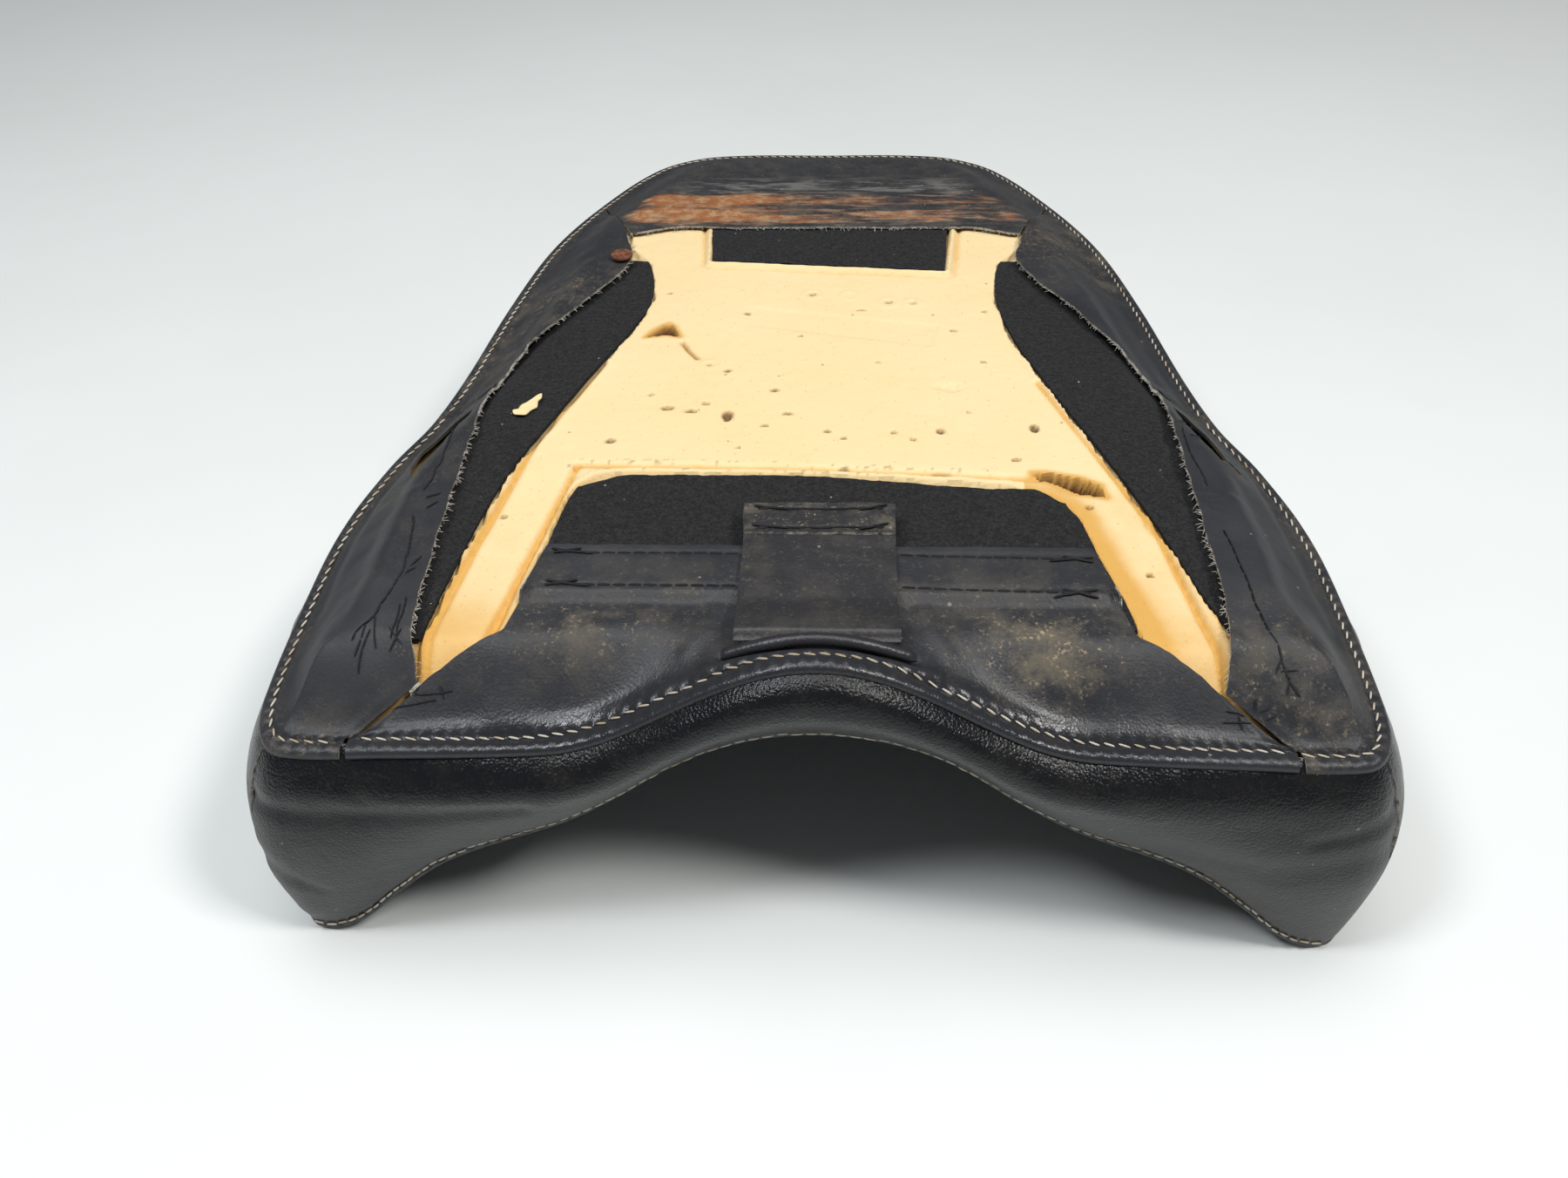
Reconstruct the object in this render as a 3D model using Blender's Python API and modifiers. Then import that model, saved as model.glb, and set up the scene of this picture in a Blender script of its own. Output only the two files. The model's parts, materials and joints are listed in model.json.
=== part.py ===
"""Motorcycle seat cushion with its stitched cover, lying seating face down.

The cushion is a moulded foam core inside a sewn vinyl cover. The cover is a
seating face of three panels, a wall of four boxing pieces, and six flaps that
fold over the underside. The underside faces up. +Z is up, -Y is the wide rear
end, +X is to the right, and the origin is on the floor under the centre of
the cushion's box. All lengths are in metres.
"""

import math

import bmesh
import bpy
import numpy as np
from mathutils import Vector

# ---- driving dimensions ----------------------------------------------------

COLLECTION = "motorcycle_seat"
SIZE = 0.93                  # real size over the size that it is drawn at
CENTRE_Y = 0.0165            # moves the cushion so that its box is centred

REAR_Y = -0.272              # rear seam at the corners
REAR_CENTRE_Y = -0.262       # rear seam at the middle
FRONT_Y = 0.308              # seam at the narrow front end
CORNER_X = 0.214             # rear seam, where the corner starts to round

# half width of the upper seam, from the rear corner to the front end
OUTLINE = (
    (CORNER_X, REAR_Y), (0.222, -0.264), (0.226, -0.246), (0.228, -0.195),
    (0.227, -0.140), (0.217, -0.088), (0.204, -0.050), (0.195, -0.005),
    (0.185, 0.070), (0.171, 0.153), (0.149, 0.220), (0.120, 0.279),
    (0.093, 0.301), (0.058, FRONT_Y),
)

PLATEAU_REAR_Z = 0.160       # foam underside at the rear
PLATEAU_FALL = 0.016         # how far it falls towards the front
PLATEAU_TURN_Y = -0.120
SIDE_DROP_REAR = 0.025       # upper seam below the plateau, at the rear
SIDE_DROP_FRONT = 0.011
ARCH_RISE = 0.040            # rear seam's rise over the middle
ARCH_HALF = 0.110
EDGE_ROUND = 0.046           # width of the rounded margin of the underside
REAR_EDGE_ROUND = 0.034

BULGE = 0.015                # how far the walls stand out between their seams
BULGE_HIGH = 0.68            # below 1 puts the fullest line above the middle
SPREAD_REAR = 0.020          # lower seam outside the upper seam, rear corners
SPREAD_LEAST = 0.002         # the same along the front and the rear middle
SKIN = 0.0014                # vinyl thickness
GAP = 0.0004                 # clearance between touching pieces
FOAM_INSET = 0.0026          # foam surface inside the cover's outer surface
SEAT_INSET = 0.0050          # the same on the deeply curved seating face

FOAM_SINK = 0.0018           # foam below the nominal underside, under the pads
FELT = 0.0022
STRIP = 0.0011
FELT_LIFT = 0.0004
FLAP_LIFT = 0.0032           # rear and front flaps over the felt
SIDE_FLAP_LIFT = 0.0052      # side flaps over felt and listing strip
SEAM_LIFT = 0.0017           # flaps over the foam at their seams
REAR_SEAM_LIFT = 0.0030
SEAM_GAP = 0.0012            # between neighbouring cover panels

# seating face: height of the rear lower seam along its half width (0 to 1)
ARCH_STATIONS = (
    (0.0, 0.133), (0.12, 0.129), (0.23, 0.118), (0.35, 0.098), (0.46, 0.083),
    (0.63, 0.065), (0.72, 0.052), (0.82, 0.030), (0.89, 0.013), (0.95, 0.004),
    (1.0, 0.002),
)
# height of the seating face along the middle and along its edge
MIDDLE_STATIONS = (
    (-0.270, 0.133), (-0.200, 0.126), (-0.100, 0.106), (0.000, 0.084),
    (0.100, 0.050), (0.170, 0.020), (0.230, 0.002), (0.270, 0.004),
    (0.308, 0.024),
)
EDGE_STATIONS = (
    (-0.270, 0.002), (-0.220, 0.0), (-0.160, 0.002), (-0.090, 0.020),
    (-0.010, 0.044), (0.070, 0.048), (0.140, 0.036), (0.220, 0.024),
    (0.308, 0.030),
)

TIP = (0.161, -0.256)        # rear corner of the opening in the cover
HEM_TOP_Y = -0.187
HEM_FOOT_Y = -0.217
HEM_HALF = 0.117
HEM_SHOULDER = (0.127, -0.237)
SIDE_SEAM_Y = -0.046         # seam between a rear and a front side flap
SIDE_SEAM_X = 0.171
FRONT_FLAP_Y = 0.147
FRONT_FLAP_HALF = 0.123
SIDE_END_Y = 0.133           # inner front corner of the side flaps
FRONT_SEAM_OUT_Y = 0.206

NECK = (                     # half width of the bare foam between the felts
    (-0.240, 0.156), (-0.162, 0.150), (-0.066, 0.134), (0.020, 0.105),
    (0.095, 0.103),
)
FELT_OUTER = (
    (-0.240, 0.170), (-0.162, 0.184), (-0.066, 0.177), (0.020, 0.160),
    (0.095, 0.124),
)
SIDE_INNER = (               # inner raw edge of the side flaps
    (TIP[1], TIP[0]), (-0.225, 0.165), (-0.159, 0.168), (-0.093, 0.170),
    (SIDE_SEAM_Y, SIDE_SEAM_X), (0.030, 0.141), (0.092, 0.117),
    (0.134, 0.124),
)

REAR_FELT_TOP = (0.109, -0.130)
REAR_FELT_FOOT = (0.124, -0.231)
FRONT_FELT_HALF = 0.070
FRONT_FELT_Y = (0.095, 0.164)

STRAP_HALF = 0.0325
STRAP_ROOT_Y = -0.247
STRAP_END_Y = -0.163
STRAP_LIFT = 0.0097
STRAP_THICK = 0.0020
STRAP_HEM = 0.020
WELT_R = 0.0018
HINGE_Z = 0.1762

THREAD_R = 0.00045
DISC_AT = (-0.122, 0.093)
DISC_R = 0.0065


# ---- shape rules -----------------------------------------------------------

def ease(value):
    """Turn 0..1 into a smooth 0..1."""
    t = min(max(value, 0.0), 1.0)
    return t * t * (3.0 - 2.0 * t)


def smooth_table(stations, at):
    """Read a smooth curve through (position, value) stations."""
    xs = [s[0] for s in stations]
    ys = [s[1] for s in stations]
    at = min(max(at, xs[0]), xs[-1])
    last = len(xs) - 2
    i = min(max(int(np.searchsorted(xs, at)) - 1, 0), last)
    step = xs[i + 1] - xs[i]
    t = (at - xs[i]) / step

    def slope(k):
        if k == 0 or k == len(xs) - 1:
            return 0.0
        return (ys[k + 1] - ys[k - 1]) / (xs[k + 1] - xs[k - 1])

    a = ys[i]
    b = ys[i + 1]
    ma = slope(i) * step
    mb = slope(i + 1) * step
    return ((2 * t ** 3 - 3 * t ** 2 + 1) * a + (t ** 3 - 2 * t ** 2 + t) * ma
            + (3 * t ** 2 - 2 * t ** 3) * b + (t ** 3 - t ** 2) * mb)


def half_outline(steps_per_span=6):
    """Right half of the upper seam in plan, from rear middle to front middle."""
    key = [(0.0, REAR_CENTRE_Y), (0.055, REAR_CENTRE_Y - 0.002),
           (0.110, REAR_Y + 0.002), (0.175, REAR_Y)]
    key += list(OUTLINE) + [(0.0, FRONT_Y)]
    before = (-key[1][0], key[1][1])
    after = (-key[-2][0], key[-2][1])
    pts = [before] + key + [after]
    path = []
    for i in range(1, len(pts) - 2):
        p0, p1, p2, p3 = (Vector(p) for p in pts[i - 1:i + 3])
        span = (p2 - p1).length
        m1 = (p2 - p0) * span / max((p2 - p1).length + (p1 - p0).length, 1e-6)
        m2 = (p3 - p1) * span / max((p3 - p2).length + (p2 - p1).length, 1e-6)
        for k in range(steps_per_span):
            t = k / steps_per_span
            a = (2 * t ** 3 - 3 * t ** 2 + 1) * p1
            b = (t ** 3 - 2 * t ** 2 + t) * m1
            c = (3 * t ** 2 - 2 * t ** 3) * p2
            d = (t ** 3 - t ** 2) * m2
            path.append(a + b + c + d)
    path.append(Vector(key[-1]))
    return path


HALF = half_outline()
LENGTHS = np.cumsum([0.0] + [(b - a).length for a, b in zip(HALF, HALF[1:])])
RING = np.array([(p.x, p.y) for p in HALF]
                + [(-p.x, p.y) for p in reversed(HALF[1:-1])])


def outline_at(share, outward=0.0):
    """Point of the upper seam; share runs 0..1 on the right, 0..-1 left."""
    side = 1.0 if share >= 0 else -1.0
    want = abs(share) * LENGTHS[-1]
    i = int(min(max(np.searchsorted(LENGTHS, want), 1), len(HALF) - 1))
    t = (want - LENGTHS[i - 1]) / (LENGTHS[i] - LENGTHS[i - 1])
    a = HALF[i - 1]
    b = HALF[i]
    p = a.lerp(b, t)
    before = HALF[max(i - 2, 0)]
    after = HALF[min(i + 1, len(HALF) - 1)]
    run = ((b - before) * (1.0 - t) + (after - a) * t).normalized()
    p = p + Vector((run.y, -run.x)) * outward
    return Vector((side * p.x, p.y))


def share_of(test):
    """Share of the half outline at which a test of (x, y) first holds."""
    for i, p in enumerate(HALF):
        if test(p.x, p.y):
            return float(LENGTHS[i] / LENGTHS[-1])
    return 1.0


def plateau_z(y):
    """Height of the flat middle of the foam's underside."""
    run = (y - PLATEAU_TURN_Y) / (FRONT_Y - PLATEAU_TURN_Y)
    return PLATEAU_REAR_Z - PLATEAU_FALL * min(max(run, 0.0), 1.0)


def seam_z(x, y):
    """Height of the upper seam."""
    change = SIDE_DROP_REAR - SIDE_DROP_FRONT
    drop = SIDE_DROP_REAR - change * ease((y + 0.150) / 0.300)
    arch = 0.0
    if y < -0.200:
        share = min(abs(x) / ARCH_HALF, 1.0)
        arch = ARCH_RISE * (0.5 + 0.5 * math.cos(math.pi * share))
    return plateau_z(y) - drop + arch


def nearest_seam(x, y):
    """Distance to the upper seam in plan, and the seam's height there."""
    a = RING
    b = np.roll(RING, -1, axis=0)
    p = np.array((x, y))
    ab = b - a
    t = np.clip(((p - a) * ab).sum(1) / (ab * ab).sum(1), 0.0, 1.0)
    q = a + ab * t[:, None]
    gap = np.hypot(*(q - p).T)
    i = int(gap.argmin())
    return float(gap[i]), seam_z(float(q[i][0]), float(q[i][1]))


def under_z(x, y):
    """Height of the foam's underside, which faces up."""
    gap, edge = nearest_seam(x, y)
    width = REAR_EDGE_ROUND if y < -0.225 else EDGE_ROUND
    blend = ease((y + 0.240) / 0.040)
    width = REAR_EDGE_ROUND + (EDGE_ROUND - REAR_EDGE_ROUND) * blend
    edge -= FOAM_INSET
    return edge + (plateau_z(y) - edge) * ease(gap / width)


def lower_spread(x, y):
    """How far the lower seam lies outside the upper seam at a plan point."""
    corner = ease((abs(x) - 0.120) / 0.090) * ease((0.080 - y) / 0.260)
    return SPREAD_LEAST + (SPREAD_REAR - SPREAD_LEAST) * corner


def seating_z(x, y):
    """Height of the cover's outer surface on the seating face."""
    half = smooth_table([(p[1], p[0]) for p in OUTLINE], y)
    if y > OUTLINE[-1][1] - 0.03:
        half = max(half, 0.09)
    across = min(abs(x) / (half + lower_spread(half, y)), 1.0)
    middle = smooth_table(MIDDLE_STATIONS, y)
    edge = smooth_table(EDGE_STATIONS, y)
    top = ARCH_STATIONS[0][1]
    low = ARCH_STATIONS[-1][1]
    fall = (smooth_table(ARCH_STATIONS, across) - low) / (top - low)
    return edge + (middle - edge) * fall


def wall_point(share, down, inset=0.0):
    """Point of the wall; down runs from 0 at the upper seam to 1 at the lower."""
    base = outline_at(share)
    spread = lower_spread(base.x, base.y)
    out = BULGE * math.sin(math.pi * down ** BULGE_HIGH)
    foot_x = base.x + math.copysign(spread, base.x) * min(abs(base.x) / 0.1, 1)
    p = outline_at(share, out - inset)
    top = seam_z(base.x, base.y)
    low = seating_z(foot_x, base.y)
    x = p.x + (foot_x - base.x) * down
    return Vector((x, p.y, top + (low - top) * down))


# ---- making objects --------------------------------------------------------

def clear_scene():
    """Remove the objects that the file opens with."""
    for obj in list(bpy.data.objects):
        bpy.data.objects.remove(obj, do_unlink=True)


def finish(name, color, roughness, metallic=0.0):
    """Make a plain Principled material."""
    mat = bpy.data.materials.new(name)
    mat.use_nodes = True
    shader = mat.node_tree.nodes["Principled BSDF"]
    shader.inputs["Base Color"].default_value = (*color, 1.0)
    shader.inputs["Roughness"].default_value = roughness
    shader.inputs["Metallic"].default_value = metallic
    mat.diffuse_color = (*color, 1.0)
    return mat


def add_mesh(name, bm, mat, collection):
    """Put a bmesh in the scene as one named object."""
    for vert in bm.verts:
        vert.co.y -= CENTRE_Y
        vert.co *= SIZE
    mesh = bpy.data.meshes.new(name)
    bm.to_mesh(mesh)
    bm.free()
    mesh.materials.append(mat)
    mesh.shade_smooth()
    mesh.set_sharp_from_angle(angle=math.radians(40))
    obj = bpy.data.objects.new(name, mesh)
    collection.objects.link(obj)
    return obj


def shaped_grid(columns, rows, place):
    """Make a grid whose points are placed by place(u, v), u and v 0..1."""
    bm = bmesh.new()
    bmesh.ops.create_grid(bm, x_segments=columns, y_segments=rows, size=0.5)
    for vert in bm.verts:
        vert.co = place(vert.co.x + 0.5, vert.co.y + 0.5)
    return bm


def add_sheet(name, columns, rows, place, thick, mat, collection, flip=False):
    """Make a sheet: place gives its outer surface, thick goes inwards."""
    bm = shaped_grid(columns, rows, place)
    if flip:
        bmesh.ops.reverse_faces(bm, faces=bm.faces)
    obj = add_mesh(name, bm, mat, collection)
    wall = obj.modifiers.new("thickness", "SOLIDIFY")
    wall.thickness = thick * SIZE
    wall.offset = -1.0
    wall.use_even_offset = False
    wall.use_quality_normals = True
    return obj


def add_thread(name, points, radius, mat, collection, cyclic=False):
    """Make a thread along a list of points."""
    curve = bpy.data.curves.new(name, "CURVE")
    curve.dimensions = "3D"
    curve.bevel_depth = radius * SIZE
    curve.bevel_resolution = 1
    curve.use_fill_caps = not cyclic
    spline = curve.splines.new("POLY")
    spline.points.add(len(points) - 1)
    for slot, p in zip(spline.points, points):
        slot.co = (p[0] * SIZE, (p[1] - CENTRE_Y) * SIZE, p[2] * SIZE, 1.0)
    spline.use_cyclic_u = cyclic
    curve.materials.append(mat)
    obj = bpy.data.objects.new(name, curve)
    collection.objects.link(obj)
    return obj


# ---- foam ------------------------------------------------------------------

def foam_ring(y, half, under_count, side_count):
    """One closed section of the foam core at a station along Y."""
    ring = []
    for i in range(under_count + 1):
        x = half * (2.0 * i / under_count - 1.0)
        ring.append(Vector((x, y, under_z(x, y) - FOAM_SINK)))
    top = ring[-1].z
    low_half = half + lower_spread(half, y) * 0.85
    low = seating_z(low_half, y) + SEAT_INSET
    for i in range(1, side_count):
        t = i / side_count
        out = BULGE * 0.75 * math.sin(math.pi * t ** BULGE_HIGH)
        x = half + (low_half - half) * t + out
        ring.append(Vector((x, y, top + (low - top) * t)))
    for i in range(under_count + 1):
        x = low_half * (1.0 - 2.0 * i / under_count)
        ring.append(Vector((x, y, seating_z(x, y) + SEAT_INSET)))
    for i in range(1, side_count):
        t = 1.0 - i / side_count
        out = BULGE * 0.75 * math.sin(math.pi * t ** BULGE_HIGH)
        x = half + (low_half - half) * t + out
        ring.append(Vector((-x, y, top + (low - top) * t)))
    return ring


def build_foam(mat, collection):
    """Loft the foam core through its sections from rear to front."""
    under_count = 28
    side_count = 4
    stations = [REAR_CENTRE_Y + 0.0065, -0.248, -0.240, -0.231, -0.222, -0.212, -0.200, -0.170, -0.140,
                -0.110, -0.080, -0.050, -0.010, 0.040, 0.090, 0.140, 0.180,
                0.215, 0.245, 0.270, 0.290, FRONT_Y - 0.004]
    bm = bmesh.new()
    rings = []
    for y in stations:
        half = half_at(y) - FOAM_INSET - 0.0006
        ring = foam_ring(y, half, under_count, side_count)
        rings.append([bm.verts.new(p) for p in ring])
    for a, b in zip(rings, rings[1:]):
        for i in range(len(a)):
            j = (i + 1) % len(a)
            bm.faces.new((a[i], a[j], b[j], b[i]))
    caps = [bm.faces.new(rings[0]), bm.faces.new(list(reversed(rings[-1])))]
    bmesh.ops.triangulate(bm, faces=caps)
    bmesh.ops.recalc_face_normals(bm, faces=bm.faces)
    return add_mesh("foam_core", bm, mat, collection)


def half_at(y):
    """Half width of the upper seam at a station along Y."""
    best = 0.0
    for a, b in zip(HALF, HALF[1:]):
        low = min(a.y, b.y)
        high = max(a.y, b.y)
        if low <= y <= high and high > low:
            t = (y - a.y) / (b.y - a.y)
            best = max(best, a.x + (b.x - a.x) * t)
    return best


# ---- cover: walls and seating face -----------------------------------------

def build_walls(mat, collection):
    """Make the four boxing pieces between the upper and lower seams."""
    corner = share_of(lambda x, y: x >= 0.219)
    front = share_of(lambda x, y: y >= FRONT_SEAM_OUT_Y)
    step = SEAM_GAP / LENGTHS[-1]

    def make(name, start, end, columns):
        def place(u, v):
            share = start + (end - start) * u
            p = wall_point(share, 0.012 + 0.976 * v)
            return p
        add_sheet(name, columns, 7, place, SKIN, mat, collection)

    def wrap(name, centre_far, limit, columns):
        def place(u, v):
            share = limit * (2.0 * u - 1.0)
            if centre_far:
                share = 1.0 - abs(share) if share <= 0 else -(1.0 - share)
                share = share if abs(share) < 1.0 else 1.0
            return wall_point(share, 0.012 + 0.976 * v)
        add_sheet(name, columns, 7, place, SKIN, mat, collection)

    wrap("rear_boxing", False, corner - step, 40)
    make("right_boxing", corner, front - step, 30)
    make("left_boxing", -(front - step), -corner, 30)
    wrap("front_boxing", True, 1.0 - front, 24)


def build_seating_face(mat, collection):
    """Make the middle panel and the two bolster panels of the seating face."""
    split = 0.56
    front = FRONT_Y - 0.006
    inset = 0.0022

    def rear_edge(across):
        straight = (REAR_CENTRE_Y - REAR_Y) * ease(across / 0.5)
        corner = 0.010 * ease((across - 0.92) / 0.08)
        return REAR_CENTRE_Y + 2.0 * inset - straight + corner

    def panel(name, start, end, columns):
        def place(u, v):
            across = start + (end - start) * u
            rear = rear_edge(abs(across))
            y = rear + (front - rear) * v
            half = half_at(y)
            x = (half + lower_spread(half, y) - inset) * across
            return Vector((x, y, seating_z(x, y)))
        add_sheet(name, columns, 26, place, SKIN, mat, collection, flip=True)

    gap = 0.004
    panel("seat_middle_panel", -split + gap, split - gap, 14)
    panel("right_bolster_panel", split + gap, 1.0, 8)
    panel("left_bolster_panel", -1.0, -split - gap, 8)


# ---- cover: flaps on the underside -----------------------------------------

def flap_point(outer, inner, across, lift, low=SEAM_LIFT):
    """Point of a flap between its seam and its inner edge."""
    p = outer.lerp(inner, across)
    rise = GAP + SKIN + low + (lift - low) * ease(across / 0.55)
    return Vector((p.x, p.y, under_z(p.x, p.y) + rise))


def inner_side(y):
    """Half width of the side flaps' inner edge."""
    return smooth_table(SIDE_INNER, y)


def build_rear_flap(mat, collection):
    """Make the rear flap, whose tongue carries the hem."""
    end = share_of(lambda x, y: x >= 0.187)

    def inner_y(x):
        if x <= HEM_HALF:
            return HEM_TOP_Y
        if x <= HEM_SHOULDER[0]:
            t = (x - HEM_HALF) / (HEM_SHOULDER[0] - HEM_HALF)
            return HEM_TOP_Y + (HEM_SHOULDER[1] - HEM_TOP_Y) * t
        t = (x - HEM_SHOULDER[0]) / (TIP[0] - HEM_SHOULDER[0])
        return HEM_SHOULDER[1] + (TIP[1] - HEM_SHOULDER[1]) * t

    shares = list(np.linspace(-1.0, 1.0, 37))

    def place(u, v):
        s = shares[int(round(u * 36))]
        outer = outline_at(s * end, -0.0008)
        x = s * TIP[0]
        inner = Vector((x, inner_y(abs(x))))
        return flap_point(outer, inner, v, FLAP_LIFT, REAR_SEAM_LIFT)

    add_sheet("rear_flap", 36, 11, place, SKIN, mat, collection)


def build_side_flaps(mat, collection):
    """Make the rear and front side flaps of both sides."""
    rear_end = share_of(lambda x, y: x >= 0.187)
    middle = share_of(lambda x, y: y >= SIDE_SEAM_Y)
    front = share_of(lambda x, y: y >= FRONT_SEAM_OUT_Y)
    step = 2.0 * SEAM_GAP / LENGTHS[-1]
    spans = (
        ("rear_flap", rear_end + step, middle, TIP[1] + 0.001, SIDE_SEAM_Y, 22),
        ("front_flap", middle + step, front, SIDE_SEAM_Y + SEAM_GAP, SIDE_END_Y, 18),
    )
    for side, label in ((1.0, "right"), (-1.0, "left")):
        for part, start, end, y0, y1, columns in spans:
            def place(u, v):
                outer = outline_at(start + (end - start) * u, -0.0008)
                y = y0 + (y1 - y0) * u
                inner = Vector((inner_side(y), y))
                p = flap_point(outer, inner, v, SIDE_FLAP_LIFT)
                return Vector((side * p.x, p.y, p.z))
            add_sheet(label + "_" + part, columns, 5, place, SKIN, mat,
                      collection, flip=side < 0)


def build_front_flap(mat, collection):
    """Make the flap over the narrow front end."""
    front = share_of(lambda x, y: y >= FRONT_SEAM_OUT_Y)
    step = 2.5 * SEAM_GAP / LENGTHS[-1]

    def place(u, v):
        s = 1.0 - 2.0 * u
        reach = abs(s) * (1.0 - front - step)
        outer = outline_at(1.0 - reach, -0.0008)
        x = abs(s) * FRONT_FLAP_HALF
        y = FRONT_FLAP_Y - 0.010 * ease((abs(s) - 0.75) / 0.25)
        p = flap_point(outer, Vector((x, y)), v, FLAP_LIFT)
        return Vector((math.copysign(p.x, s), p.y, p.z))

    add_sheet("front_flap", 26, 6, place, SKIN, mat, collection)


# ---- felt pads and listing -------------------------------------------------

def add_pad(name, columns, rows, plan, mat, collection, flip=False):
    """Make a felt pad on the foam, its plan given by plan(u, v)."""
    def place(u, v):
        x, y = plan(u, v)
        return Vector((x, y, under_z(x, y) + FELT_LIFT + FELT))
    add_sheet(name, columns, rows, place, FELT, mat, collection, flip)


def build_felts(mat, collection):
    """Make the four felt pads stuck to the foam's underside."""
    def rear(u, v):
        y = REAR_FELT_FOOT[1] + (REAR_FELT_TOP[1] - REAR_FELT_FOOT[1]) * v
        half = REAR_FELT_FOOT[0] + (REAR_FELT_TOP[0] - REAR_FELT_FOOT[0]) * v
        return half * (2.0 * u - 1.0), y

    add_pad("rear_felt_pad", 16, 6, rear, mat, collection)

    def front(u, v):
        y = FRONT_FELT_Y[0] + (FRONT_FELT_Y[1] - FRONT_FELT_Y[0]) * v
        return FRONT_FELT_HALF * (2.0 * u - 1.0), y

    add_pad("front_felt_pad", 8, 4, front, mat, collection)
    for side, label in ((1.0, "right"), (-1.0, "left")):
        def plan(u, v):
            y = NECK[0][0] + (NECK[-1][0] - NECK[0][0]) * v
            inner = smooth_table(NECK, y)
            outer = smooth_table(FELT_OUTER, y)
            return side * (inner + (outer - inner) * u), y
        add_pad(label + "_felt_pad", 5, 20, plan, mat, collection, side < 0)


def build_listing(vinyl, plastic, collection):
    """Make the hem sleeve of the rear flap and the flat listing strips."""
    lift = FLAP_LIFT + GAP + SKIN

    def level(x, y, above):
        return Vector((x, y, under_z(x, y) + above))

    inset = 0.004
    strip_base = lift + 2 * GAP

    def strip(u, v):
        x = (HEM_HALF - 2 * inset) * (2.0 * u - 1.0)
        y = HEM_FOOT_Y + inset + (HEM_TOP_Y - HEM_FOOT_Y - 2 * inset) * v
        return level(x, y, strip_base + STRIP)

    add_sheet("rear_listing_strip", 12, 2, strip, STRIP, plastic, collection)
    sleeve_base = strip_base + STRIP + GAP

    def sleeve(u, v):
        s = 2.0 * u - 1.0
        y = HEM_FOOT_Y + (HEM_TOP_Y - HEM_FOOT_Y) * v
        return level(HEM_HALF * s, y, sleeve_base + SKIN)

    add_sheet("rear_hem_sleeve", 14, 3, sleeve, SKIN, vinyl, collection)
    for side, label in ((1.0, "right"), (-1.0, "left")):
        def side_strip(u, v):
            y = -0.215 + 0.150 * v
            x = inner_side(y) + 0.004 + 0.011 * u
            return Vector((side * x, y, under_z(x, y) + 0.00355 + STRIP))
        add_sheet(label + "_listing_strip", 2, 10, side_strip, STRIP, plastic,
                  collection, flip=side < 0)


# ---- threads ---------------------------------------------------------------

def flap_top(x, y, lift):
    """Height of a flap's upper surface well inside its seam."""
    return under_z(x, y) + GAP + SKIN + lift


def build_threads(light, dark, collection):
    """Make the stitched threads of the cover."""
    rise = THREAD_R + GAP
    loop = []
    count = 84
    for i in range(count):
        share = 2.0 * i / count - 1.0
        p = outline_at(share, 0.0)
        loop.append((p.x, p.y, seam_z(p.x, p.y) + rise + 0.0022))
    add_thread("upper_seam_thread", loop, THREAD_R, light, collection, True)

    end = share_of(lambda x, y: x >= 0.205)
    lower = []
    for i in range(31):
        share = end * (2.0 * i / 30 - 1.0)
        p = wall_point(share, 0.93, -rise - 0.0026)
        lower.append(tuple(p))
    add_thread("rear_lower_seam_thread", lower, THREAD_R, light, collection)

    for side, label in ((1.0, "right"), (-1.0, "left")):
        points = []
        for i in range(15):
            y = -0.232 + 0.160 * i / 14
            x = inner_side(y) + 0.019
            z = flap_top(x, y, SIDE_FLAP_LIFT) + rise + 0.0008
            points.append((side * x, y, z))
        add_thread(label + "_flap_thread", points, THREAD_R, dark, collection)

    top = FLAP_LIFT + 2 * SKIN + STRIP + 4 * GAP
    for y, label in ((HEM_TOP_Y - 0.005, "front"), (HEM_FOOT_Y + 0.004, "rear")):
        for side, where in ((-1.0, "left"), (1.0, "right")):
            points = []
            for i in range(6):
                x = side * (0.040 + 0.072 * i / 5)
                points.append((x, y, under_z(x, y) + top + rise + 0.0004))
            add_thread("hem_thread_" + label + "_" + where, points, THREAD_R,
                       dark, collection)


# ---- pull strap ------------------------------------------------------------

def strap_top(x, y):
    """Height of the strap's upper surface."""
    over_hem = under_z(0.0, HEM_FOOT_Y + 0.004) + STRAP_LIFT + STRAP_THICK
    ridge = HINGE_Z + STRAP_THICK * 0.5
    return over_hem + (ridge - over_hem) * (1.0 - ease((y - STRAP_ROOT_Y) / 0.026))


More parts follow.
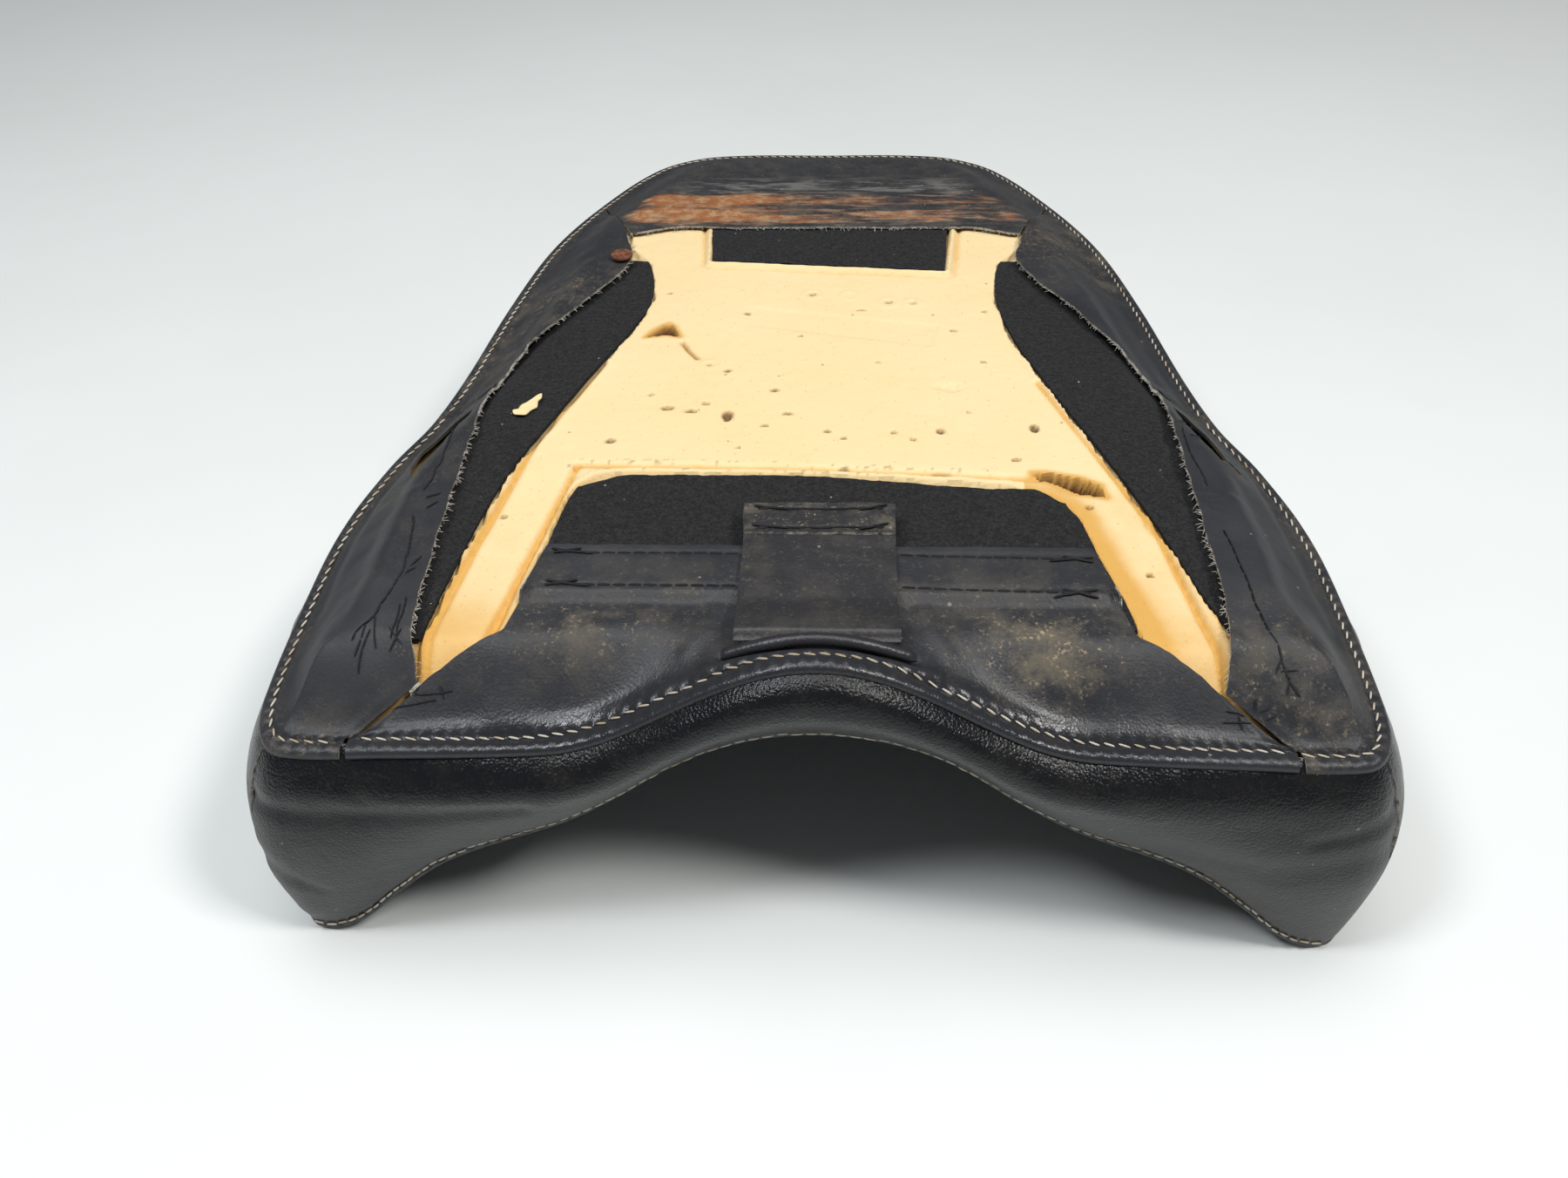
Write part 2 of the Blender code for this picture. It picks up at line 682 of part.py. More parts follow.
def build_strap(vinyl, dark, collection):
    """Make the pull strap, its doubled end and its threads on their hinge."""
    hinge = bpy.data.objects.new("pull_strap_hinge", None)
    hinge.location = (0.0, (STRAP_ROOT_Y - CENTRE_Y) * SIZE, HINGE_Z * SIZE)
    collection.objects.link(hinge)

    def place(u, v):
        y = STRAP_ROOT_Y + (STRAP_END_Y - STRAP_ROOT_Y) * v
        x = STRAP_HALF * (2.0 * u - 1.0)
        return Vector((x, y, strap_top(x, y)))

    pieces = [add_sheet("pull_strap", 6, 14, place, STRAP_THICK, vinyl,
                        collection)]

    def hem(u, v):
        y = STRAP_END_Y - STRAP_HEM * (1.0 - v)
        x = (STRAP_HALF - 0.0015) * (2.0 * u - 1.0)
        return Vector((x, y, strap_top(x, y) + GAP + SKIN))

    pieces.append(add_sheet("pull_strap_hem", 6, 3, hem, SKIN, vinyl,
                            collection))
    for back, label in ((0.004, "end"), (STRAP_HEM - 0.003, "inner")):
        y = STRAP_END_Y - back
        z = strap_top(0.0, y) + 2 * GAP + SKIN + THREAD_R
        points = [(x, y, z) for x in (-0.028, -0.014, 0.0, 0.014, 0.028)]
        pieces.append(add_thread("pull_strap_thread_" + label, points,
                                 THREAD_R, dark, collection))
    for piece in pieces:
        piece.parent = hinge
        piece.matrix_parent_inverse = hinge.matrix_world.inverted()
    bpy.context.view_layer.update()
    for piece in pieces:
        piece.matrix_parent_inverse = hinge.matrix_world.inverted()


def build_strap_root(vinyl, collection):
    """Make the welt that holds the strap's root to the rear flap."""
    y = STRAP_ROOT_Y - 0.0066
    points = []
    for i in range(9):
        x = (STRAP_HALF + 0.004) * (i / 4.0 - 1.0)
        z = flap_top(x, y, FLAP_LIFT) + WELT_R + 0.0010
        points.append((x, y, z))
    add_thread("strap_root_welt", points, WELT_R, vinyl, collection)


def build_disc(mat, collection):
    """Make the rusty button that pins the left front flap's end."""
    x, y = DISC_AT
    bm = bmesh.new()
    bmesh.ops.create_cone(bm, cap_ends=True, segments=20, radius1=DISC_R,
                          radius2=DISC_R * 0.8, depth=0.0018)
    base = under_z(x, y) + 0.0105
    for vert in bm.verts:
        vert.co += Vector((x, y, base))
    add_mesh("anchor_button", bm, mat, collection)


# ---- the seat --------------------------------------------------------------

def main():
    """Build the whole cushion."""
    clear_scene()
    collection = bpy.data.collections.new(COLLECTION)
    bpy.context.scene.collection.children.link(collection)
    vinyl = finish("black_vinyl", (0.020, 0.021, 0.024), 0.42)
    foam = finish("moulded_foam", (0.86, 0.66, 0.36), 0.85)
    felt = finish("black_felt", (0.008, 0.008, 0.010), 0.97)
    light = finish("tan_thread", (0.55, 0.47, 0.36), 0.7)
    dark = finish("black_thread", (0.012, 0.012, 0.014), 0.7)
    plastic = finish("listing_plastic", (0.08, 0.08, 0.09), 0.5)
    rust = finish("rusty_steel", (0.22, 0.08, 0.04), 0.8, 0.4)

    build_foam(foam, collection)
    build_walls(vinyl, collection)
    build_seating_face(vinyl, collection)
    build_rear_flap(vinyl, collection)
    build_side_flaps(vinyl, collection)
    build_front_flap(vinyl, collection)
    build_felts(felt, collection)
    build_listing(vinyl, plastic, collection)
    build_threads(light, dark, collection)
    build_strap(vinyl, dark, collection)
    build_strap_root(vinyl, collection)
    build_disc(rust, collection)


main()
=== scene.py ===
"""Visual model of a motorcycle seat cushion that lies seating face down.

A moulded foam core sits in a sewn vinyl cover. Felt pads are stuck to the
foam, and the cover's flaps fold over the underside, which faces up. Lengths
are in metres. The seat is laid out at drawing size; SeatForm.real() turns a
drawn point into a real one.
"""

import json
import logging
import math
from dataclasses import dataclass, field
from enum import Enum
from typing import Callable, Iterable, Sequence

import bpy
import numpy as np
from mathutils import Matrix, Vector

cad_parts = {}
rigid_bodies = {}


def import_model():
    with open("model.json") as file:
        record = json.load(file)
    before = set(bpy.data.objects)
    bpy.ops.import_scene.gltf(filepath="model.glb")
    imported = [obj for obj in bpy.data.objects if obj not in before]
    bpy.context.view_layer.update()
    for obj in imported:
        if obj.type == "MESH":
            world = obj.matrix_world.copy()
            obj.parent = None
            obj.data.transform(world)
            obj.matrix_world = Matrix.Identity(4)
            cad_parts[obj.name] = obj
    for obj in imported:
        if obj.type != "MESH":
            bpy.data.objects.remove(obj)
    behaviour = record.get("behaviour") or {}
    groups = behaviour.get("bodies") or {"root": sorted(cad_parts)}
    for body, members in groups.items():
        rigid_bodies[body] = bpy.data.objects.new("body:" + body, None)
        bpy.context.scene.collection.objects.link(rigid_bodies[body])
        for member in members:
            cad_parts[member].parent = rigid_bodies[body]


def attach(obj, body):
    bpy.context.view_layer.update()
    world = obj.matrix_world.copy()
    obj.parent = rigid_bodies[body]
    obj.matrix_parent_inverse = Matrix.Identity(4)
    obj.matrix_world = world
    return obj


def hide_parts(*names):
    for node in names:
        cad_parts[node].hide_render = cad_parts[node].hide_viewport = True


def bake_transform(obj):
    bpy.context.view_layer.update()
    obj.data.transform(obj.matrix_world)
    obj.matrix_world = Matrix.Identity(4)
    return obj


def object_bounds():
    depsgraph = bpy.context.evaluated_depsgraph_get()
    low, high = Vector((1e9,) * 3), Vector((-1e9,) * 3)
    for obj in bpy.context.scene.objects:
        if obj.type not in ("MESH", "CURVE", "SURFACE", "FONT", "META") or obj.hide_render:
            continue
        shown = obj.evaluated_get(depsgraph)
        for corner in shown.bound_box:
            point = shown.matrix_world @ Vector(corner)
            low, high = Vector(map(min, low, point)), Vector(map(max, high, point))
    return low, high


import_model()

CAD_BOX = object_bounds()
LOG = logging.getLogger("motorcycle_seat")
Plan = Sequence[tuple[float, float]]
VINYL = 0.0014
TO_MM = 1000.0


class Body(Enum):
    """Bodies that a piece can ride on."""

    CUSHION = "cushion"
    STRAP = "pull_strap"


class Hold(Enum):
    """Ways that a sheet of the cover is held."""

    LAID = "laid"
    STRETCHED = "stretched"
    FOLDED = "folded"


# ---- small sums ------------------------------------------------------------

def ease(value: np.ndarray) -> np.ndarray:
    """Turn 0..1 into a smooth 0..1."""
    t = np.clip(value, 0.0, 1.0)
    return t * t * (3.0 - 2.0 * t)


def hump(gap: np.ndarray, width: float) -> np.ndarray:
    """Bell that is 1 on a line and has died away two widths off."""
    return np.exp(-(gap / width) ** 2)


def cubic(t: np.ndarray, a: np.ndarray, leave: np.ndarray, b: np.ndarray,
          arrive: np.ndarray) -> np.ndarray:
    """Point at t on a smooth curve from a to b.

    Args:
        t: 0 at a, 1 at b.
        a: Where the curve starts.
        leave: Its pull as it leaves a.
        b: Where the curve ends.
        arrive: Its pull as it arrives at b.

    Returns:
        The point.
    """
    return ((2 * t ** 3 - 3 * t ** 2 + 1) * a + (t ** 3 - 2 * t ** 2 + t) * leave
            + (3 * t ** 2 - 2 * t ** 3) * b + (t ** 3 - t ** 2) * arrive)


def curve_through(stations: Plan, at: np.ndarray) -> np.ndarray:
    """Read a smooth curve through (position, value) stations."""
    xs = np.array([s[0] for s in stations], float)
    ys = np.array([s[1] for s in stations], float)
    slope = np.zeros(len(xs))
    slope[1:-1] = (ys[2:] - ys[:-2]) / (xs[2:] - xs[:-2])
    at = np.clip(at, xs[0], xs[-1])
    i = np.clip(np.searchsorted(xs, at) - 1, 0, len(xs) - 2)
    step = xs[i + 1] - xs[i]
    t = (at - xs[i]) / step
    return cubic(t, ys[i], slope[i] * step, ys[i + 1], slope[i + 1] * step)


def lattice_noise(x: np.ndarray, y: np.ndarray, seed: int) -> np.ndarray:
    """Smooth noise from -1 to 1 at points given in cells.

    Args:
        x: First coordinate, in cells.
        y: Second coordinate, in cells.
        seed: Number that picks the pattern.

    Returns:
        The noise at each point.
    """
    xi = np.floor(x).astype(np.int64)
    yi = np.floor(y).astype(np.int64)
    u = ease(x - xi)
    v = ease(y - yi)

    def corner(i: np.ndarray, j: np.ndarray) -> np.ndarray:
        """Fixed random value of one lattice point."""
        n = (i * 374761393 + j * 668265263 + seed * 974634777) & 0x7FFFFFFF
        n = ((n ^ (n >> 13)) * 1274126177) & 0x7FFFFFFF
        return ((n ^ (n >> 16)) & 0xFFFF) / 32767.5 - 1.0

    low = corner(xi, yi) * (1 - u) + corner(xi + 1, yi) * u
    high = corner(xi, yi + 1) * (1 - u) + corner(xi + 1, yi + 1) * u
    return low * (1 - v) + high * v


def rough(x: np.ndarray, y: np.ndarray, cell: float, seed: int,
          octaves: int = 3) -> np.ndarray:
    """Layered noise, about -1 to 1, whose largest lumps are cell across."""
    total = np.zeros(np.broadcast(x, y).shape)
    weight = 1.0
    norm = 0.0
    for k in range(octaves):
        total += weight * lattice_noise(x / cell + 17.3 * k, y / cell, seed + k)
        norm += weight
        weight *= 0.5
        cell *= 0.5
    return total / norm


def line_gap(x: np.ndarray, y: np.ndarray, line: Plan,
             closed: bool = False) -> np.ndarray:
    """Distance in plan to a line through the given points."""
    pts = list(line) + ([line[0]] if closed else [])
    best = np.full(np.broadcast(x, y).shape, 1e9)
    for (ax, ay), (bx, by) in zip(pts, pts[1:]):
        dx, dy = bx - ax, by - ay
        t = np.clip(((x - ax) * dx + (y - ay) * dy) / (dx * dx + dy * dy), 0, 1)
        best = np.minimum(best, np.hypot(x - ax - dx * t, y - ay - dy * t))
    return best


def inside_gap(x: np.ndarray, y: np.ndarray, outline: Plan) -> np.ndarray:
    """Distance to a closed outline, above zero inside it."""
    gap = line_gap(x, y, outline, closed=True)
    inside = np.zeros(gap.shape, bool)
    for (ax, ay), (bx, by) in zip(outline, list(outline[1:]) + [outline[0]]):
        crosses = (ay > y) != (by > y)
        reach = ax + (y - ay) * (bx - ax) / ((by - ay) or 1e-12)
        inside ^= crosses & (x < reach)
    return np.where(inside, gap, -gap)


def mm(points: Plan) -> list[tuple[float, float]]:
    """Turn plan points in millimetres into metres."""
    return [(a * 0.001, b * 0.001) for a, b in points]


# ---- the form that every piece follows -------------------------------------

@dataclass
class SeatForm:
    """Shape rules of the cushion, at drawing size."""

    size: float = 0.93
    centre_y: float = 0.0165
    rear_y: float = -0.272
    rear_centre_y: float = -0.262
    front_y: float = 0.308
    front_seam_y: float = 0.206
    outline: Plan = (
        (0.214, -0.272), (0.222, -0.264), (0.226, -0.246), (0.228, -0.195),
        (0.227, -0.140), (0.217, -0.088), (0.204, -0.050), (0.195, -0.005),
        (0.185, 0.070), (0.171, 0.153), (0.149, 0.220), (0.120, 0.279),
        (0.093, 0.301), (0.058, 0.308))
    plateau_rear_z: float = 0.160
    plateau_fall: float = 0.016
    plateau_turn_y: float = -0.120
    side_drop_rear: float = 0.025
    side_drop_front: float = 0.011
    arch_rise: float = 0.040
    arch_half: float = 0.110
    edge_round: float = 0.046
    rear_edge_round: float = 0.034
    bulge: float = 0.015
    bulge_high: float = 0.68
    spread_rear: float = 0.020
    spread_least: float = 0.002
    foam_inset: float = 0.0026
    arch_stations: Plan = (
        (0.0, 0.133), (0.12, 0.129), (0.23, 0.118), (0.35, 0.098),
        (0.46, 0.083), (0.63, 0.065), (0.72, 0.052), (0.82, 0.030),
        (0.89, 0.013), (0.95, 0.004), (1.0, 0.002))
    middle_stations: Plan = (
        (-0.270, 0.133), (-0.200, 0.126), (-0.100, 0.106), (0.0, 0.084),
        (0.100, 0.050), (0.170, 0.020), (0.230, 0.002), (0.270, 0.004),
        (0.308, 0.024))
    edge_stations: Plan = (
        (-0.270, 0.002), (-0.220, 0.0), (-0.160, 0.002), (-0.090, 0.020),
        (-0.010, 0.044), (0.070, 0.048), (0.140, 0.036), (0.220, 0.024),
        (0.308, 0.030))
    steps: int = 8
    half: np.ndarray = field(init=False)
    lengths: np.ndarray = field(init=False)

    def __post_init__(self) -> None:
        """Lay the half outline out once."""
        self.half = self._half_outline()
        runs = np.hypot(*np.diff(self.half, axis=0).T)
        self.lengths = np.concatenate([[0.0], np.cumsum(runs)])

    def _half_outline(self) -> np.ndarray:
        """Right half of the upper seam, from rear middle to front middle."""
        key = [(0.0, self.rear_centre_y), (0.055, self.rear_centre_y - 0.002),
               (0.110, self.rear_y + 0.002), (0.175, self.rear_y)]
        key += list(self.outline) + [(0.0, self.front_y)]
        key = [(-key[1][0], key[1][1])] + key + [(-key[-2][0], key[-2][1])]
        pts = np.array(key)
        path = []
        for i in range(1, len(pts) - 2):
            p0, p1, p2, p3 = pts[i - 1:i + 3]
            span = math.dist(p1, p2)
            m1 = (p2 - p0) * span / (span + math.dist(p0, p1))
            m2 = (p3 - p1) * span / (span + math.dist(p2, p3))
            t = (np.arange(self.steps) / self.steps)[:, None]
            path.append(cubic(t, p1, m1, p2, m2))
        path.append(pts[-2][None, :])
        return np.concatenate(path)

    def real(self, points: np.ndarray) -> np.ndarray:
        """Turn drawn points into real ones."""
        moved = np.array(points, float)
        moved[..., 1] -= self.centre_y
        return moved * self.size

    def outline_at(self, share: np.ndarray, outward: np.ndarray | float = 0.0
                   ) -> tuple[np.ndarray, np.ndarray, np.ndarray]:
        """Find points of the upper seam.

        Args:
            share: 0 at the rear middle, 1 at the front middle by the right
                side, -1 by the left.
            outward: How far outside the seam the point lies.

        Returns:
            Points (..., 2), and the x and y of the outward direction.
        """
        share = np.asarray(share, float)
        want = np.abs(share) * self.lengths[-1]
        last = len(self.half) - 1
        i = np.clip(np.searchsorted(self.lengths, want), 1, last)
        t = (want - self.lengths[i - 1]) / (self.lengths[i] - self.lengths[i - 1])
        t = t[..., None]
        a, b = self.half[i - 1], self.half[i]
        before = self.half[np.maximum(i - 2, 0)]
        after = self.half[np.minimum(i + 1, last)]
        run = (b - before) * (1 - t) + (after - a) * t
        run = run / np.linalg.norm(run, axis=-1, keepdims=True)
        side = np.where(share >= 0, 1.0, -1.0)
        p = a + (b - a) * t
        px = side * (p[..., 0] + run[..., 1] * outward)
        py = p[..., 1] - run[..., 0] * outward
        return np.stack([px, py], -1), side * run[..., 1], -run[..., 0]

    def share_of(self, test: Callable[[float, float], bool]) -> float:
        """Share of the half outline at which a test of (x, y) first holds."""
        for point, length in zip(self.half, self.lengths):
            if test(*point):
                return float(length / self.lengths[-1])
        return 1.0

    def plateau_z(self, y: np.ndarray) -> np.ndarray:
        """Height of the flat middle of the foam's underside."""
        run = (y - self.plateau_turn_y) / (self.front_y - self.plateau_turn_y)
        return self.plateau_rear_z - self.plateau_fall * np.clip(run, 0, 1)

    def seam_z(self, x: np.ndarray, y: np.ndarray) -> np.ndarray:
        """Height of the upper seam."""
        change = self.side_drop_rear - self.side_drop_front
        drop = self.side_drop_rear - change * ease((y + 0.150) / 0.300)
        share = np.minimum(np.abs(x) / self.arch_half, 1.0)
        arch = self.arch_rise * (0.5 + 0.5 * np.cos(np.pi * share))
        return self.plateau_z(y) - drop + np.where(y < -0.200, arch, 0.0)

    def under_z(self, x: np.ndarray, y: np.ndarray) -> np.ndarray:
        """Height of the foam's underside."""
        x, y = np.broadcast_arrays(x, y)
        shape = x.shape
        x, y = x.ravel(), y.ravel()
        mirrored = self.half[-2:0:-1] * (-1.0, 1.0)
        a = np.concatenate([self.half, mirrored])
        ab = np.roll(a, -1, axis=0) - a
        size2 = (ab ** 2).sum(1)
        gap = np.empty(x.size)
        edge = np.empty(x.size)
        for start in range(0, x.size, 6000):
            cut = slice(start, start + 6000)
            dx = x[cut, None] - a[:, 0]
            dy = y[cut, None] - a[:, 1]
            t = np.clip((dx * ab[:, 0] + dy * ab[:, 1]) / size2, 0, 1)
            away = np.hypot(dx - ab[:, 0] * t, dy - ab[:, 1] * t)
            i = away.argmin(1)
            rows = np.arange(len(i))
            near = a[i] + ab[i] * t[rows, i][:, None]
            gap[cut] = away[rows, i]
            edge[cut] = self.seam_z(near[:, 0], near[:, 1])
        width = (self.rear_edge_round + (self.edge_round - self.rear_edge_round)
                 * ease((y + 0.240) / 0.040))
        edge -= self.foam_inset
        flat = self.plateau_z(y)
        return (edge + (flat - edge) * ease(gap / width)).reshape(shape)

    def half_at(self, y: np.ndarray) -> np.ndarray:
        """Half width of the upper seam at a station along Y."""
        y = np.asarray(y, float)
        best = np.zeros(y.shape)
        for a, b in zip(self.half, self.half[1:]):
            if a[1] == b[1]:
                continue
            t = (y - a[1]) / (b[1] - a[1])
            hit = (t >= 0) & (t <= 1)
            best = np.where(hit, np.maximum(best, a[0] + (b[0] - a[0]) * t), best)
        return best

    def lower_spread(self, x: np.ndarray, y: np.ndarray) -> np.ndarray:
        """How far the lower seam lies outside the upper seam."""
        corner = ease((np.abs(x) - 0.120) / 0.090) * ease((0.080 - y) / 0.260)
        return self.spread_least + (self.spread_rear - self.spread_least) * corner

    def seating_z(self, x: np.ndarray, y: np.ndarray) -> np.ndarray:
        """Height of the cover's outer surface on the seating face."""
        half = curve_through([(p[1], p[0]) for p in self.outline], y)
        front = self.outline[-1][1] - 0.03
        half = np.where(y > front, np.maximum(half, 0.09), half)
        across = np.minimum(np.abs(x) / (half + self.lower_spread(half, y)), 1.0)
        middle = curve_through(self.middle_stations, y)
        edge = curve_through(self.edge_stations, y)
        top, low = self.arch_stations[0][1], self.arch_stations[-1][1]
        fall = (curve_through(self.arch_stations, across) - low) / (top - low)
        return edge + (middle - edge) * fall

    def wall(self, share: np.ndarray, down: np.ndarray) -> np.ndarray:
        """Points of the wall; down is 0 at the upper seam, 1 at the lower."""
        share, down = np.broadcast_arrays(share, down)
        base, _, _ = self.outline_at(share)
        x0, y0 = base[..., 0], base[..., 1]
        reach = np.minimum(np.abs(x0) / 0.1, 1.0) * self.lower_spread(x0, y0)
        foot_x = x0 + np.sign(x0) * reach
        out = self.bulge * np.sin(np.pi * np.clip(down, 0, 1) ** self.bulge_high)
        p, _, _ = self.outline_at(share, out)
        top = self.seam_z(x0, y0)
        low = self.seating_z(foot_x, y0)
        return np.stack([p[..., 0] + (foot_x - x0) * down, p[..., 1],
                         top + (low - top) * down], -1)

    def over_edge(self, share: np.ndarray, arc: np.ndarray, lift: np.ndarray
                  ) -> np.ndarray:
        """Points that run from the upper seam out over the wall.

        Args:
            share: Place along the seam, (m,).
            arc: Distance from the seam over the wall, (n,).
            lift: Height above the wall's surface, (m, n) or (n,).

        Returns:
            Points (m, n, 3).
        """
        down = np.linspace(0.0, 0.42, 60)
        path = self.wall(share[:, None], down[None, :])
        runs = np.linalg.norm(np.diff(path, axis=1), axis=2)
        length = np.concatenate([np.zeros((len(share), 1)),
                                 np.cumsum(runs, axis=1)], axis=1)
        slope = np.gradient(path, axis=1)
        slope /= np.linalg.norm(slope, axis=2, keepdims=True)
        _, ox, oy = self.outline_at(share)
        points = np.empty((len(share), len(arc), 3))
        for k in range(len(share)):
            along = [np.interp(arc, length[k], path[k, :, c]) for c in range(3)]
            run = [np.interp(arc, length[k], slope[k, :, c]) for c in range(3)]
            forward = run[0] * ox[k] + run[1] * oy[k]
            normal = np.stack([-run[2] * ox[k], -run[2] * oy[k], forward], -1)
            normal /= np.linalg.norm(normal, axis=1, keepdims=True)
            rise = lift[k] if lift.ndim == 2 else lift
            points[k] = np.stack(along, -1) + normal * rise[:, None]
        return points


FORM = SeatForm()


# ---- meshes ----------------------------------------------------------------

def build_mesh(name: str, verts: np.ndarray, quads: np.ndarray,
               slots: np.ndarray, caps: Iterable[Sequence[int]] = (),
               facts: dict[str, np.ndarray] | None = None,
               crease: float = 38.0) -> bpy.types.Object:
    """Make an object from real points and faces.

    Args:
        name: The piece's name.
        verts: Points (n, 3), in real metres.
        quads: Four-cornered faces (k, 4).
        slots: Material slot of each quad, (k,).
        caps: Faces with any number of corners.
        facts: Values kept on the points, by name.
        crease: Angle in degrees past which an edge is sharp.

    Returns:
        The new object, linked to the scene.
    """
    mesh = bpy.data.meshes.new(name)
    caps = [np.asarray(c) for c in caps]
    loops = np.concatenate([quads.ravel(), *caps]).astype(np.int32)
    sizes = np.array([4] * len(quads) + [len(c) for c in caps], np.int32)
    starts = np.concatenate([[0], np.cumsum(sizes)[:-1]]).astype(np.int32)
    mesh.vertices.add(len(verts))
    mesh.vertices.foreach_set("co", verts.astype(np.float32).ravel())
    mesh.loops.add(len(loops))
    mesh.loops.foreach_set("vertex_index", loops)
    mesh.polygons.add(len(sizes))
    mesh.polygons.foreach_set("loop_start", starts)
    marks = np.concatenate([slots, np.zeros(len(caps))]).astype(np.int32)
    mesh.polygons.foreach_set("material_index", marks)
    mesh.update(calc_edges=True)
    mesh.validate()
    for label, values in (facts or {}).items():
        layer = mesh.attributes.new(label, "FLOAT", "POINT")
        layer.data.foreach_set("value", values.astype(np.float32).ravel())
    mesh.shade_smooth()
    mesh.set_sharp_from_angle(angle=math.radians(crease))
    obj = bpy.data.objects.new(name, mesh)
    bpy.context.scene.collection.objects.link(obj)
    return obj


def face_out(points: np.ndarray) -> np.ndarray:
    """Unit normals of a grid of points (m, n, 3)."""
    du = np.gradient(points, axis=0)
    dv = np.gradient(points, axis=1)
    normal = np.cross(du, dv)
    return normal / np.maximum(np.linalg.norm(normal, axis=2, keepdims=True), 1e-12)


@dataclass
class Cloth:
    """A sheet of cover or felt, laid out as a grid of drawn points."""

    name: str
    points: np.ndarray
    thick: float | np.ndarray
    up: float = 1.0
    facts: dict[str, np.ndarray] = field(default_factory=dict)
    crease: float = 38.0

    def press(self, depth: np.ndarray) -> None:
        """Move the surface along its normal by a depth at each point."""
        self.points = self.points + face_out(self.points) * self.up * depth[..., None]

    def flat_size(self) -> tuple[float, float, float]:
        """Width, length and area of the sheet laid flat, in real metres."""
        p = FORM.real(self.points)
        width = np.linalg.norm(np.diff(p, axis=0), axis=2).sum(0).max()
        length = np.linalg.norm(np.diff(p, axis=1), axis=2).sum(1).max()
        a = p[1:, 1:] - p[:-1, :-1]
        b = p[1:, :-1] - p[:-1, 1:]
        area = np.linalg.norm(np.cross(a, b), axis=2).sum() / 2
        return float(width), float(length), float(area)

    def make(self) -> bpy.types.Object:
        """Close the sheet into a body: face 0, back 1 and raw edge 2."""
        m, n, _ = self.points.shape
        thick = np.broadcast_to(self.thick, (m, n))[..., None]
        back = self.points - face_out(self.points) * self.up * thick
        verts = np.concatenate([self.points.reshape(-1, 3), back.reshape(-1, 3)])
        grid = np.arange(m * n).reshape(m, n)
        front = np.stack([grid[:-1, :-1], grid[1:, :-1], grid[1:, 1:],
                          grid[:-1, 1:]], -1).reshape(-1, 4)
        ring = np.concatenate([grid[:, 0], grid[-1, 1:], grid[-2::-1, -1],
                               grid[0, -2:0:-1]])
        after = np.roll(ring, -1)
        under = front[:, ::-1] + m * n
        side = np.stack([ring, ring + m * n, after + m * n, after], -1)
        quads = np.concatenate([front, under, side])
        if self.up < 0:
            quads = quads[:, ::-1]
        slots = np.concatenate([np.zeros(len(front)), np.ones(len(under)),
                                np.full(len(side), 2)])
        facts = {k: np.concatenate([np.broadcast_to(v, (m, n)).ravel()] * 2)
                 for k, v in self.facts.items()}
        return build_mesh(self.name, FORM.real(verts), quads, slots,
                          facts=facts, crease=self.crease)


def sew_in(cloth: Cloth, mats: Sequence[bpy.types.Material],
           nodes: Sequence[str],
           body: Body | None = Body.CUSHION) -> bpy.types.Object:
    """Args:
        cloth: The sheet.
        mats: Materials of its face, back and raw edge.
        nodes: CAD nodes that it stands for.
        body: Body that it rides on, or None to leave it unattached.

    Returns:
        The finished object.
    """
    obj = cloth.make()
    for mat in mats:
        obj.data.materials.append(mat)
    width, length, area = cloth.flat_size()
    if nodes:
        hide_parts(*nodes)
    if body is not None:
        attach(obj, body.value)
    LOG.info("%s: sheet %.0f x %.0f mm, %d faces", obj.name, width * 1000,
             length * 1000, len(obj.data.polygons))
    return obj


# ---- finishes --------------------------------------------------------------

